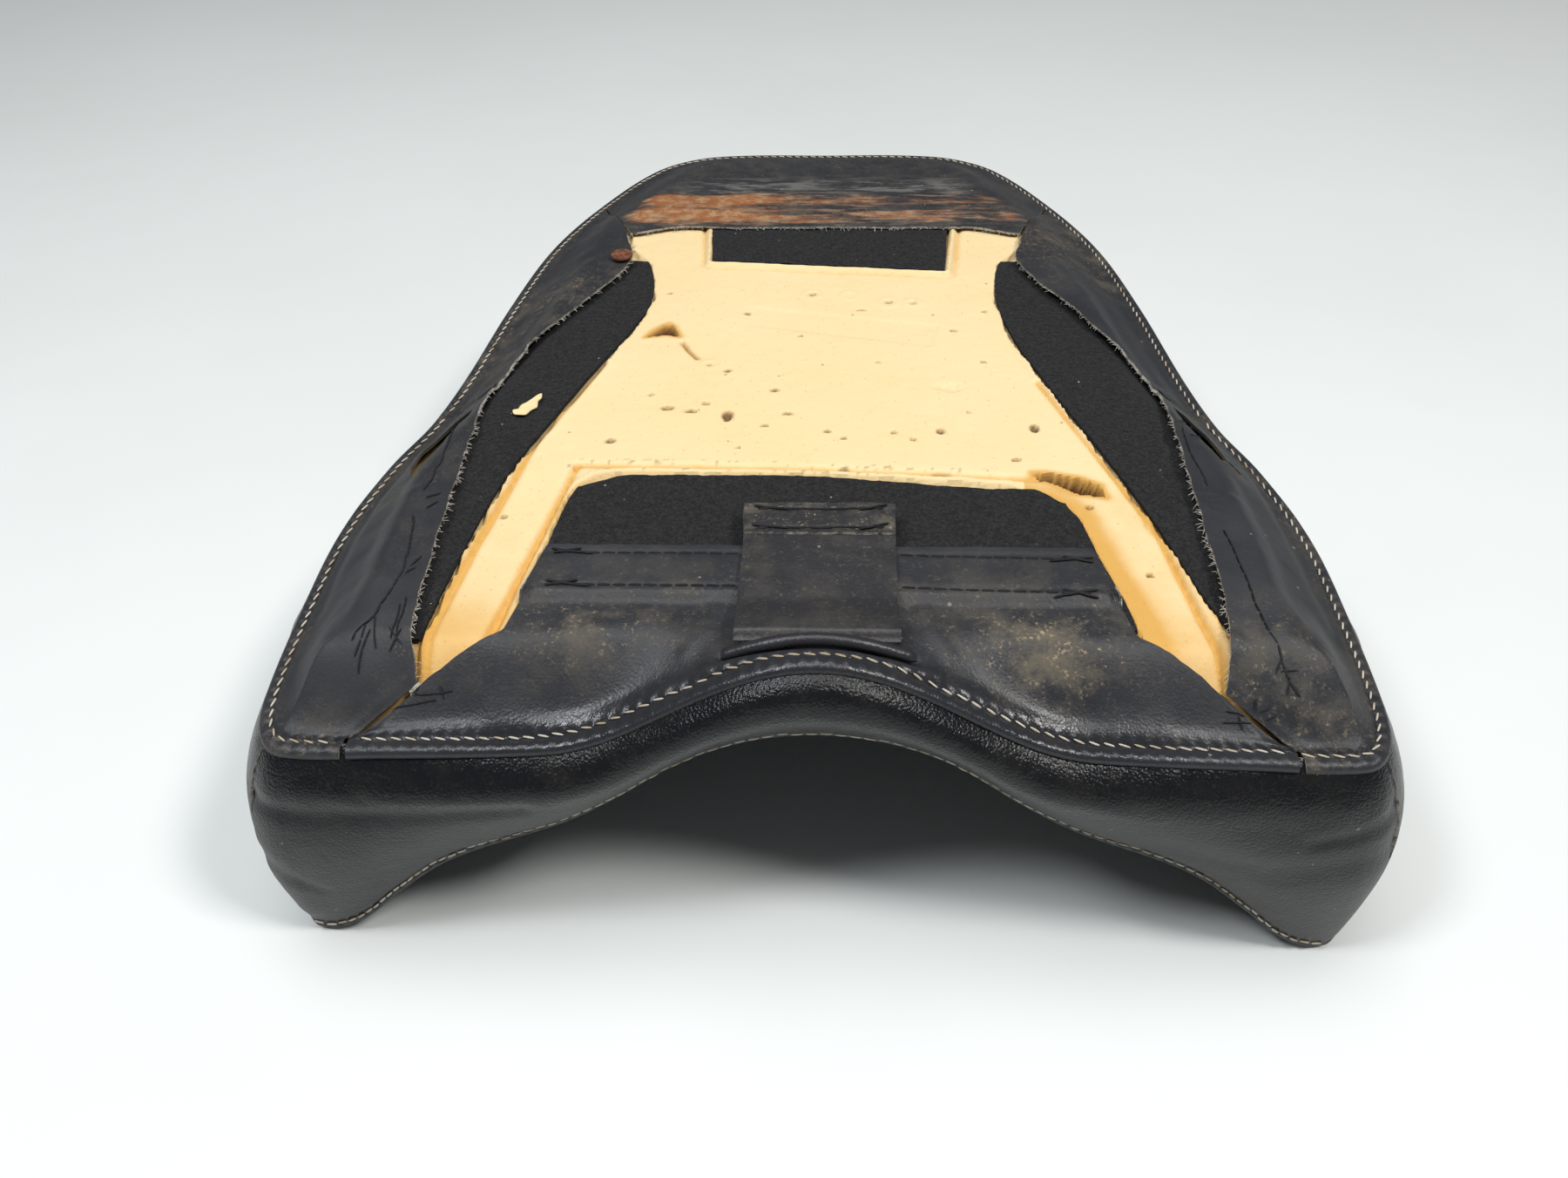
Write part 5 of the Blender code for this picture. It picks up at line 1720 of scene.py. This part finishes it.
        bpy.data.objects.remove(cutter, do_unlink=True)

    def front(self, finishes: Finishes) -> bpy.types.Object:
        """Fold the flap over the narrow front end."""
        front = FORM.share_of(lambda x, y: y >= FORM.front_seam_y)
        step = 0.0012 / FORM.lengths[-1]
        s = np.linspace(1, -1, 241)
        reach = np.abs(s) * (1 - front - step)
        share = np.where(s >= 0, 1.0 - reach, reach - 1.0)
        x_in = s * self.front_flap_half
        y_in = self.front_flap_y - 0.010 * ease((np.abs(s) - 0.75) / 0.25)
        y_in = y_in + 0.0009 * rough(x_in, x_in * 0, 0.008, 87, 4)
        inner = np.stack([x_in, y_in], -1)
        points, facts, thick = self.grid(share, inner, 52, self.flap_lift,
                                         self.seam_lift, 0.75)
        x, y = points[..., 0], points[..., 1]
        gap = facts["stitch_gap"]
        depth = 0.0007 * rough(x, y, 0.05, 63, 3) * ease(gap / 8)
        trough = hump(line_gap(x, y, mm(((-110, 196), (0, 214), (110, 196)))), 0.006)
        depth -= 0.0011 * trough * ease(gap / 5)
        facts["gloss"] = 0.25 * hump(np.maximum(gap, 0), 4.0)
        band = hump(y - 0.192, 0.013) * ease((0.135 - np.abs(x)) / 0.03)
        low = hump(y - 0.163, 0.016) * ease((0.140 - np.abs(x)) / 0.02)
        left = ease((0.02 - x) / 0.10)
        facts["rust"] = np.clip(0.78 * band * (0.55 + 0.45 * left)
                                + 0.85 * low * (0.55 + 0.4 * left), 0, 1)
        grey = hump(y - 0.212, 0.014) * ease((0.11 - np.abs(x)) / 0.03)
        facts["scuff"] = np.clip(1.1 * grey + 0.5 * low, 0, 1)
        facts["dust"] = 0.25 + 0.3 * low
        return self.fit("front_flap", points, facts, thick, depth, 1.0,
                        finishes)

    def build(self, finishes: Finishes) -> None:
        """Fold all six flaps."""
        self.rear(finishes)
        self.hem_fold(finishes)
        self.side(1.0, "right", finishes)
        self.side(-1.0, "left", finishes)
        self.front(finishes)


# ---- pull strap ------------------------------------------------------------

@dataclass
class PullStrap:
    """Strap that lies forward from its root; its doubled end rides on the strap's body."""

    half: float = 0.0325
    root_y: float = -0.247
    end_y: float = -0.163
    lift: float = 0.0097
    thick: float = 0.0020
    hem: float = 0.020
    skin: float = VINYL
    gap: float = 0.0004
    hinge_z: float = 0.1762
    hem_foot_y: float = -0.217

    def top(self, y: np.ndarray) -> np.ndarray:
        """Height of the strap's upper surface along its middle."""
        over = (float(FORM.under_z(np.array(0.0), np.array(self.hem_foot_y + 0.004)))
                + self.lift + self.thick)
        ridge = self.hinge_z + self.thick * 0.5
        return over + (ridge - over) * (1 - ease((y - self.root_y) / 0.026))

    def lay(self, name: str, half: float, y0: float, y1: float, above: float,
            shape: tuple[int, int], thick: float) -> Cloth:
        """Lay a strip of the strap between two stations."""
        u = np.linspace(-1, 1, shape[0])[:, None]
        v = np.linspace(0, 1, shape[1])[None, :]
        y = y0 + (y1 - y0) * v + 0 * u
        taper = 1.0 + 0.035 * ease((y - self.end_y + 0.03) / 0.03)
        x = half * u * taper + 0.0006 * rough(y, u * 0 + y * 0, 0.02, 6, 2)
        z = self.top(y) + above - 0.0030 * ease((self.root_y - y) / 0.0035)
        z = z + 0.0004 * rough(x, y, 0.022, 15, 3)
        z = z + 0.0005 * ease((np.abs(u) - 0.75) / 0.25) * rough(y, y * 0, 0.02, 18)
        gloss = 0.30 * ease((self.root_y + 0.03 - y) / 0.02)
        dust = 0.25 + 0.6 * ease((y - self.end_y + self.hem) / 0.004)
        facts = {"gloss": gloss, "dust": np.clip(dust, 0, 1)}
        return Cloth(name, np.stack([x, y, z], -1), thick, 1.0, facts)

    def build(self, finishes: Finishes) -> None:
        """Sew the strap, its doubled end and the roll at its root."""
        cloth = self.lay("pull_strap_body", self.half, self.root_y - 0.0038,
                         self.end_y, 0.0, (70, 90), self.thick)
        strap = sew_in(cloth, finishes.cover(finishes.strap),
                       ["pull_strap"], None)
        z = self.top(np.array(self.root_y))
        ends = FORM.real(np.array([(0.0, self.root_y - 0.0022, z),
                                   (0.0, self.root_y + 0.0045, z)]))
        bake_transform(strap)
        end = self.lay("pull_strap_doubled_end", self.half - 0.0004,
                       self.end_y - self.hem, self.end_y + 0.0003,
                       self.gap * 0.4 + self.skin, (70, 30), self.skin)
        y = end.points[..., 1]
        rows = (hump(y - self.end_y + 0.004, 0.0013)
                + hump(y - self.end_y + self.hem - 0.003, 0.0013))
        end.press(0.0004 * rough(end.points[..., 0], y, 0.010, 25, 3)
                  - 0.0005 * rows)
        sew_in(end, finishes.cover(finishes.strap),
               ["pull_strap_hem"], Body.STRAP)
        self.root_roll(finishes)

    def root_roll(self, finishes: Finishes) -> None:
        """Roll of vinyl that the strap's root turns round."""
        y = self.root_y - 0.0066
        x = np.linspace(-self.half - 0.005, self.half + 0.006, 60)
        turn = np.linspace(-0.35 * math.pi, 1.15 * math.pi, 22)
        radius = 0.0027 + 0.0002 * rough(x, x * 0, 0.009, 66, 2)
        radius = radius * (0.55 + 0.45 * ease((1 - np.abs(x) / (self.half + 0.006))
                                              / 0.06))
        z = FORM.under_z(x, x * 0 + y) + 0.0068
        sag = 0.0006 * np.cos(x / self.half * 1.5)
        px = np.repeat(x[:, None], len(turn), 1)
        py = y + radius[:, None] * np.cos(turn)[None, :]
        pz = (z + sag)[:, None] + radius[:, None] * np.sin(turn)[None, :]
        cloth = Cloth("strap_root_roll", np.stack([px, py, pz], -1), 0.0011, -1.0,
                      {"gloss": np.full(px.shape, 0.55)}, 60.0)
        sew_in(cloth, finishes.cover(finishes.strap),
               ["strap_root_welt"])


# ---- threads ---------------------------------------------------------------

@dataclass
class Stitching:
    """Every thread of the cover, and the fibres loose at its raw edges."""

    pitch: float = 0.00591
    hem_pitch: float = 0.0062
    flap_pitch: float = 0.0055
    back_pitch: float = 0.0036
    tack_pitch: float = 0.0030
    foot_x: float = 0.212
    foot_rise: float = 0.0052
    fibre: float = 0.0027
    fibre_thick: float = 0.00028
    seed: int = 11
    hem_rows: tuple = ((-0.192, 0.034, 0.113), (-0.2125, 0.034, 0.112))
    back_stitches: tuple = ((-0.015, -0.0012, 0.001, 0.0014),
                            (-0.010, 0.0016, 0.0005, -0.0012))
    frayed: tuple = (("left_rear_flap", (1, 0), 170),
                     ("right_rear_flap", (-1, 0), 170),
                     ("left_front_flap", (1, -0.2), 110),
                     ("right_front_flap", (-1, -0.2), 110),
                     ("front_flap", (0, -1), 190))
    long_runs: dict = field(default_factory=lambda: {
        "left_flap_thread": (
            mm(((-184, -80), (-180, -104), (-179, -128), (-181, -150))),
            mm(((-181, -168), (-177, -188), (-176, -204), (-178, -217),
                (-180, -232), (-185, -249)))),
        "right_flap_thread": (
            mm(((174, -94), (173, -109), (174, -124), (176, -141))),
            mm(((176, -172), (177, -196), (177, -214), (178, -234),
                (182, -250), (188, -257))))})
    bar_tacks: tuple = (
        ("left_corner_tack", (((-169, -258), (-162, -257.5), (-154, -257),
                               (-146, -256)),
                              ((-171, -261), (-163, -260), (-153, -258.5)),
                              ((-170, -256.5), (-167, -261)),
                              ((-160, -255), (-158.5, -260)),
                              ((-151, -255), (-150, -258)))),
        ("right_corner_tack", (((161, -259), (168, -260), (178, -258)),
                               ((160, -262), (170, -262), (180, -260)),
                               ((164, -256.5), (167, -264)),
                               ((172, -255), (173, -264)))),
        ("left_edge_tack", (((-169.5, -222), (-168.5, -232), (-168.5, -244)),
                            ((-171, -226), (-170, -236), (-171, -243)),
                            ((-172, -239), (-167, -245)),
                            ((-167, -240), (-171, -247)))),
        ("left_tail_knot", (((-180, -232), (-177, -246)),
                            ((-181, -236), (-187, -244)),
                            ((-180, -240), (-184, -253)))),
        ("right_tail_knot", (((182, -250), (187, -250)),
                             ((184, -252), (183, -260)),
                             ((181, -247), (176, -254)))),
        ("left_seam_tack", (((-176, -44), (-182, -46)), ((-173, -49), (-179, -44)),
                            ((-171, -43), (-174, -50)))),
        ("left_flap_ticks", (((-173, -152), (-178, -155)),
                             ((-172, -158), (-176, -162)),
                             ((-170, -196), (-173, -201)),
                             ((-171, -203), (-174, -206)))),
        ("right_flap_ticks", (((176, -100), (182, -98)), ((174, -88), (181, -85)),
                              ((181, -76), (186, -74)), ((186, -70), (190, -80)),
                              ((173, -50), (181, -46)), ((174, -44), (178, -52)),
                              ((193, -112), (199, -116)),
                              ((190, -108), (196, -104)))))

    def __post_init__(self) -> None:
        """Start the steady source of small irregularities."""
        self.chance = np.random.default_rng(self.seed)

    def drop(self, x: float, y: float, targets: Sequence[bpy.types.Object]
             ) -> tuple[Vector, Vector]:
        """Find the cover's surface below a drawn plan point.

        Args:
            x: Plan position across.
            y: Plan position along.
            targets: Pieces that may lie there.

        Returns:
            The real point, and the surface's normal.
        """
        px, py, _ = FORM.real(np.array([x, y, 0.0]))
        best, normal = Vector((px, py, 0.0)), Vector((0, 0, 1))
        for obj in targets:
            hit, at, face, _ = obj.ray_cast(Vector((px, py, 0.4)),
                                            Vector((0, 0, -1)))
            if hit and at.z > best.z:
                best, normal = at, face
        return best, normal

    def model(self, length: float, thick: float) -> bpy.types.Object:
        """Model one stitch, plump in the middle and lying along X."""
        bpy.ops.object.select_all(action="DESELECT")
        bpy.ops.mesh.primitive_uv_sphere_add(segments=8, ring_count=6, radius=0.5)
        obj = bpy.context.object
        for vert in obj.data.vertices:
            along = math.copysign(abs(vert.co.z * 2) ** 0.7, vert.co.z) * 0.5
            vert.co = (along * length, vert.co.x * thick, vert.co.y * thick)
        obj.data.shade_smooth()
        return obj

    def repeat(self, name: str, length: float, thick: float,
               places: Sequence[tuple[Vector, Vector, Vector, float]],
               mat: bpy.types.Material) -> bpy.types.Object:
        """Copy one stitch to every place and join the copies.

        Args:
            name: The finished piece's name.
            length: Length of the modelled stitch.
            thick: Its thickness.
            places: Position, direction, surface normal and stretch of each.
            mat: The thread's material.

        Returns:
            The joined object.
        """
        model = self.model(length, thick)
        made = []
        for at, along, up, stretch in places:
            x = along.normalized()
            z = (up - x * up.dot(x)).normalized()
            y = z.cross(x)
            turn = Matrix((x * stretch, y, z)).transposed().to_4x4()
            copy = model.copy()
            copy.data = model.data.copy()
            copy.data.transform(Matrix.Translation(at) @ turn)
            bpy.context.scene.collection.objects.link(copy)
            made.append(copy)
        bpy.data.objects.remove(model, do_unlink=True)
        bpy.ops.object.select_all(action="DESELECT")
        for copy in made:
            copy.select_set(True)
        bpy.context.view_layer.objects.active = made[0]
        if len(made) > 1:
            bpy.ops.object.join()
        obj = bpy.context.view_layer.objects.active
        obj.name = name
        obj.data.name = name
        obj.data.materials.clear()
        obj.data.materials.append(mat)
        LOG.info("%s: %d stitches", name, len(places))
        return obj

    def finish(self, obj: bpy.types.Object, nodes: Sequence[str],
               body: Body = Body.CUSHION) -> None:
        """Hide the CAD nodes that a thread stands for and attach it to its body."""
        if nodes:
            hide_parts(*nodes)
        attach(obj, body.value)

    def upper_seam(self, finishes: Finishes,
                   targets: Sequence[bpy.types.Object]) -> None:
        """Top-stitch the whole upper seam."""
        total = FORM.lengths[-1] * 2
        count = int(round(total / self.pitch))
        shares = (np.arange(count) + 0.5) / count * 2 - 1
        size = 0.3 * self.pitch / total * 2
        places = []
        for share in shares:
            ends = []
            for side in (-1, 1):
                plan, _, _ = FORM.outline_at(np.array(share + side * size),
                                             -0.0006 + 0.0005 * side)
                ends.append(self.drop(float(plan[0]), float(plan[1]), targets))
            (a, na), (b, nb) = ends
            jitter = float(self.chance.normal(0, 0.0001))
            up = (na + nb).normalized()
            middle = (a + b) / 2 + up * (0.00028 + jitter)
            places.append((middle, b - a, up,
                           float(self.chance.uniform(0.93, 1.06))))
        obj = self.repeat("upper_seam_stitches", 0.0045, 0.00088, places,
                          finishes.pale_thread)
        self.finish(obj, ["upper_seam_thread"])

    def lower_seam(self, finishes: Finishes,
                   targets: Sequence[bpy.types.Object]) -> None:
        """Top-stitch the rear wall just above the lower seam."""
        end = FORM.share_of(lambda x, y: x >= self.foot_x)
        shares = np.linspace(-end, end, 460)
        foot = FORM.wall(shares, np.full(shares.shape, 0.995))
        runs = np.linalg.norm(np.diff(foot, axis=0), axis=1)
        length = np.concatenate([[0], np.cumsum(runs)])
        marks = np.arange(0.0, length[-1], self.pitch)
        at = np.interp(marks, length, shares)
        reach = float(end * 0.33 * self.pitch / length[-1] * 2)
        wall = targets[0]
        places = []
        for share in at:
            ends = []
            for side in (-1, 1):
                s = np.array([share + side * reach])
                low = FORM.wall(s, np.array([1.0]))[0]
                high = FORM.wall(s, np.array([0.0]))[0]
                drop = 1.0 - self.foot_rise / max(high[2] - low[2], 0.01)
                point = FORM.wall(s, np.array([drop]))[0]
                _, at_wall, normal, _ = wall.closest_point_on_mesh(
                    Vector(FORM.real(point)))
                outward = normal if normal.y < 0.2 else -normal
                ends.append((at_wall, outward))
            (a, na), (b, nb) = ends
            up = (na + nb).normalized()
            wander = Vector((0, 0, float(self.chance.normal(0, 0.00025))))
            places.append(((a + b) / 2 + up * 0.00035 + wander, b - a, up,
                           float(self.chance.uniform(0.9, 1.08))))
        obj = self.repeat("rear_lower_seam_stitches", 0.0047, 0.0010, places,
                          finishes.pale_thread)
        self.finish(obj, ["rear_lower_seam_thread"])

    def run_places(self, line: Plan, pitch: float,
                   targets: Sequence[bpy.types.Object], sway: float,
                   above: float = 0.0003, fill: float = 1.0
                   ) -> list[tuple[Vector, Vector, Vector, float]]:
        """Places of the stitches of a run along a plan line."""
        pts = np.array(line)
        runs = np.linalg.norm(np.diff(pts, axis=0), axis=1)
        length = np.concatenate([[0], np.cumsum(runs)])
        count = max(int(length[-1] / pitch), 1)
        marks = np.linspace(0, length[-1], count + 1)
        x = np.interp(marks, length, pts[:, 0])
        y = np.interp(marks, length, pts[:, 1])
        x = x + self.chance.normal(0, sway, len(x))
        found = [self.drop(float(a), float(b), targets) for a, b in zip(x, y)]
        places = []
        for (a, na), (b, nb) in zip(found, found[1:]):
            up = (na + nb).normalized()
            gap = (b - a).length
            if gap > 2.2 * pitch * FORM.size or min(a.z, b.z) < 0.002:
                continue
            places.append(((a + b) / 2 + up * above, b - a, up,
                           fill * gap / (pitch * FORM.size)))
        return places

    def black_runs(self, finishes: Finishes,
                   targets: Sequence[bpy.types.Object]) -> None:
        """Sew the hem rows, the long flap runs and the hand tacks."""
        for row, (y, near, far) in zip(("front", "rear"), self.hem_rows):
            for side, where in ((-1.0, "left"), (1.0, "right")):
                lean = -0.003 * (side + 1) / 2
                line = [(side * near, y), (side * far, y + lean)]
                places = self.run_places(line, self.hem_pitch, targets, 0.0,
                                         0.0002, 0.84)
                for start, fall, end, climb in self.back_stitches:
                    back = [(side * (far + start), y + lean + fall),
                            (side * (far + end), y + lean + climb)]
                    places += self.run_places(back, self.back_pitch, targets,
                                              0.0004, 0.0007)
                obj = self.repeat(f"hem_stitches_{row}_{where}", 0.0058, 0.0011,
                                  places, finishes.black_thread)
                self.finish(obj, [f"hem_thread_{row}_{where}"])
        for node, runs in self.long_runs.items():
            places = []
            for line in runs:
                places += self.run_places(line, self.flap_pitch, targets, 0.0003,
                                          0.0002, 0.88)
            obj = self.repeat(node.replace("thread", "stitches"), 0.0056, 0.0010,
                              places, finishes.black_thread)
            self.finish(obj, [node])
        for name, lines in self.bar_tacks:
            places = []
            for line in lines:
                places += self.run_places(mm(line), self.tack_pitch, targets,
                                          0.0002, 0.0006)
            obj = self.repeat(name, 0.0034, 0.00056, places,
                              finishes.black_thread)
            self.finish(obj, [])

    def strap_rows(self, strap: PullStrap, finishes: Finishes,
                   targets: Sequence[bpy.types.Object]) -> None:
        """Sew the two rows across the strap's doubled end."""
        for back, label in ((0.004, "end"), (strap.hem - 0.003, "inner")):
            y = strap.end_y - back
            line = [(-0.027, y), (0.028, y + 0.0006)]
            places = self.run_places(line, 0.0052, targets, 0.0, 0.0003)
            tail = [(0.018, y - 0.0014), (0.029, y + 0.0022)]
            places += self.run_places(tail, 0.0034, targets, 0.0003, 0.0008)
            tail = [(-0.028, y + 0.0016), (-0.014, y - 0.0012)]
            places += self.run_places(tail, 0.0034, targets, 0.0003, 0.0008)
            obj = self.repeat(f"pull_strap_stitches_{label}", 0.0050, 0.0011,
                              places, finishes.black_thread)
            self.finish(obj, [f"pull_strap_thread_{label}"],
                        Body.STRAP)

    def raw_edges(self, edges: dict[str, np.ndarray],
                  finishes: Finishes) -> None:
        """Fray the inner edge of every flap that isn't hemmed."""
        for flap, outward, count in self.frayed:
            self.fray(flap + "_fray", edges[flap], outward, count, finishes)

    def fray(self, name: str, edge: np.ndarray, outward: tuple[float, float],
             count: int, finishes: Finishes) -> None:
        """Loosen pale fibres along a raw edge.

        Args:
            name: The piece's name.
            edge: Drawn points along the edge (k, 3).
            outward: Plan direction away from the flap.
            count: How many fibres.
            finishes: The seat's materials.
        """
        real = FORM.real(edge)
        away = Vector((outward[0], outward[1], 0)).normalized()
        places = []
        for _ in range(count):
            k = int(self.chance.integers(1, len(real) - 1))
            at = Vector(real[k])
            run = (Vector(real[k + 1]) - Vector(real[k - 1])).normalized()
            lean = (away * float(self.chance.uniform(0.1, 1.0))
                    + run * float(self.chance.normal(0, 0.8))
                    + Vector((0, 0, float(self.chance.normal(-0.15, 0.35)))))
            grow = float(self.chance.uniform(0.4, 1.5))
            lean.normalize()
            centre = at + lean * self.fibre * grow * 0.35
            centre -= Vector((0, 0, 0.0006))
            places.append((centre, lean, Vector((0, 0, 1)), grow))
        obj = self.repeat(name, self.fibre, self.fibre_thick, places,
                          finishes.fibre)
        self.finish(obj, [])


# ---- small parts -----------------------------------------------------------

@dataclass
class SmallParts:
    """Rusty button, listing strips and crumbs of foam."""

    button_at: tuple[float, float] = (-0.122, 0.093)
    button_radius: float = 0.0065
    crumb_at: tuple[float, float] = (-0.148, -0.071)

    def button(self, finishes: Finishes) -> None:
        """Model the button, domed with a rolled rim."""
        x, y = self.button_at
        base = float(FORM.under_z(np.array(x), np.array(y))) + 0.0103
        bpy.ops.object.select_all(action="DESELECT")
        bpy.ops.mesh.primitive_cylinder_add(
            vertices=32, radius=self.button_radius * FORM.size, depth=0.0016,
            location=tuple(FORM.real(np.array([x, y, base]))))
        obj = bpy.context.object
        obj.name = "rusty_button"
        bpy.ops.object.transform_apply(location=True, rotation=True, scale=True)
        bpy.ops.object.mode_set(mode="EDIT")
        bpy.ops.mesh.select_all(action="DESELECT")
        bpy.ops.object.mode_set(mode="OBJECT")
        for face in obj.data.polygons:
            face.select = face.normal.z > 0.9
        bpy.ops.object.mode_set(mode="EDIT")
        bpy.ops.mesh.inset(thickness=0.0011, depth=-0.00035)
        bpy.ops.mesh.inset(thickness=0.0024, depth=0.0005)
        bpy.ops.mesh.inset(thickness=0.0012, depth=0.00005)
        bpy.ops.object.mode_set(mode="OBJECT")
        edge = obj.modifiers.new("edge", "BEVEL")
        edge.width = 0.0003
        edge.segments = 2
        bpy.ops.object.modifier_apply(modifier=edge.name)
        bpy.ops.object.shade_smooth_by_angle(angle=math.radians(35))
        obj.data.materials.append(finishes.rust)
        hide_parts("anchor_button")
        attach(obj, Body.CUSHION.value)
        LOG.info("%s: %d faces", obj.name, len(obj.data.polygons))

    def strips(self, finishes: Finishes) -> None:
        """Dress the listing strips inside the hems."""
        for name in ("rear_listing_strip", "left_listing_strip",
                     "right_listing_strip"):
            node = bpy.data.objects[name]
            node.data.materials.clear()
            node.data.materials.append(finishes.plastic)

    def crumb(self, finishes: Finishes, felt: bpy.types.Object,
              stitching: Stitching) -> None:
        """Model the flake of foam that lies on the left pad."""
        at, _ = stitching.drop(*self.crumb_at, [felt])
        bpy.ops.object.select_all(action="DESELECT")
        bpy.ops.mesh.primitive_ico_sphere_add(subdivisions=4, radius=1.0)
        obj = bpy.context.object
        obj.name = "foam_flake"
        turn = math.radians(62)
        for vert in obj.data.vertices:
            u, v, w = vert.co
            wide = 0.0034 * (1 - 0.45 * u) * (1 + 0.2 * math.sin(7 * u + 1))
            px, py = u * 0.0098, v * wide
            pz = w * 0.0011 + 0.0014 * u * u + 0.0004 * math.sin(9 * u + 4 * v)
            vert.co = (at.x + px * math.cos(turn) - py * math.sin(turn),
                       at.y + px * math.sin(turn) + py * math.cos(turn),
                       at.z + 0.0012 + pz)
        obj.data.shade_smooth()
        obj.data.materials.append(finishes.foam)
        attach(obj, Body.CUSHION.value)
        LOG.info("%s: %d faces", obj.name, len(obj.data.polygons))


# ---- studio ----------------------------------------------------------------

@dataclass
class Studio:
    """Floor, soft lights and camera."""

    pitch: float = 42.0
    yaw: float = 2.51
    roll: float = -1.11
    eye: tuple[float, float, float] = (0.00206, -0.56219, 0.46965)
    lens: float = 28.0
    floor_gap: float = 0.0004
    floor_size: float = 24.0
    sky: float = 0.13
    backdrop: float = 0.85
    lamps: tuple = (
        ("top_light", (-0.15, -0.2, 2.6), 1.5, 31.0, (1.0, 1.0, 1.0)),
        ("key_light", (1.35, -0.9, 2.3), 0.45, 40.0, (1.0, 0.985, 0.96)),
        ("window_light", (-0.95, -0.75, 1.9), 0.35, 18.0, (0.94, 0.97, 1.0)))

    def lamp(self, name: str, at: tuple[float, float, float], size: float,
             power: float, colour: tuple[float, float, float]) -> None:
        """Hang a square soft light aimed at the seat."""
        data = bpy.data.lights.new(name, "AREA")
        data.shape = "SQUARE"
        data.size = size
        data.energy = power
        data.color = colour
        obj = bpy.data.objects.new(name, data)
        obj.location = at
        aim = Vector((0, 0, 0.08)) - Vector(at)
        obj.rotation_euler = aim.to_track_quat("-Z", "Y").to_euler()
        bpy.context.scene.collection.objects.link(obj)

    def lay_floor(self, finishes: Finishes) -> None:
        """Lay the board that the seat stands on."""
        floor_z = CAD_BOX[0][2] - self.floor_gap
        bpy.ops.object.select_all(action="DESELECT")
        bpy.ops.mesh.primitive_plane_add(size=self.floor_size,
                                         location=(0, 0, floor_z))
        floor = bpy.context.object
        floor.name = "floor"
        floor.data.materials.append(finishes.floor)

    def light_room(self) -> None:
        """Give the room a pale backdrop that lights the seat only a little."""
        world = bpy.data.worlds.new("studio")
        bpy.context.scene.world = world
        world.use_nodes = True
        sky = world.node_tree.nodes["Background"]
        sky.inputs["Color"].default_value = (0.93, 0.96, 1.0, 1.0)
        recipe = Recipe(world.node_tree)
        seen = recipe.add("ShaderNodeLightPath").outputs["Is Camera Ray"]
        recipe.feed(sky.inputs["Strength"],
                    recipe.span(seen, 0, 1, self.sky, self.backdrop))

    def place_camera(self) -> None:
        """Place the camera, turned by pitch, yaw and roll."""
        camera = bpy.data.cameras.new("camera")
        camera.lens = self.lens
        camera.sensor_width = 36.0
        camera.clip_start = 0.01
        obj = bpy.data.objects.new("camera", camera)
        p, w, r = (math.radians(a) for a in (self.pitch, self.yaw, self.roll))
        forward = Vector((-math.sin(w) * math.cos(p), math.cos(w) * math.cos(p),
                          -math.sin(p)))
        right = Vector((math.cos(w), math.sin(w), 0))
        up = right.cross(forward)
        level = math.cos(r) * right + math.sin(r) * up
        rise_dir = -math.sin(r) * right + math.cos(r) * up
        turn = Matrix((level, rise_dir, -forward)).transposed().to_4x4()
        obj.matrix_world = Matrix.Translation(self.eye) @ turn
        bpy.context.scene.collection.objects.link(obj)
        bpy.context.scene.camera = obj

    def build(self, finishes: Finishes) -> None:
        """Set the studio up."""
        self.lay_floor(finishes)
        self.light_room()
        for name, at, size, power, colour in self.lamps:
            self.lamp(name, at, size, power, colour)
        bpy.context.scene.view_settings.view_transform = "Standard"
        self.place_camera()


# ---- the seat --------------------------------------------------------------

def main() -> None:
    """Build the whole seat and the studio."""
    logging.basicConfig(level=logging.INFO)
    finishes = Finishes()
    core = FoamCore()
    core.build(finishes)
    FeltPads(core).build(finishes)
    CoverWalls().build(finishes)
    SeatingFace().build(finishes)
    flaps = UnderFlaps()
    flaps.build(finishes)
    strap = PullStrap()
    strap.build(finishes)
    stitching = Stitching()
    names = ["rear_flap_skin", "front_flap_skin", "left_rear_flap_skin",
             "right_rear_flap_skin", "left_front_flap_skin",
             "right_front_flap_skin"]
    bpy.context.view_layer.update()
    cover = [bpy.data.objects[n] for n in names]
    stitching.upper_seam(finishes, cover)
    stitching.lower_seam(finishes, [bpy.data.objects["rear_boxing_skin"]])
    stitching.black_runs(finishes, cover)
    stitching.strap_rows(strap, finishes,
                         [bpy.data.objects["pull_strap_doubled_end"]])
    stitching.raw_edges(flaps.edges, finishes)
    parts = SmallParts()
    parts.button(finishes)
    parts.strips(finishes)
    parts.crumb(finishes, bpy.data.objects["left_felt_pad_nap"], stitching)
    Studio().build(finishes)


if __name__ == "__main__":
    main()
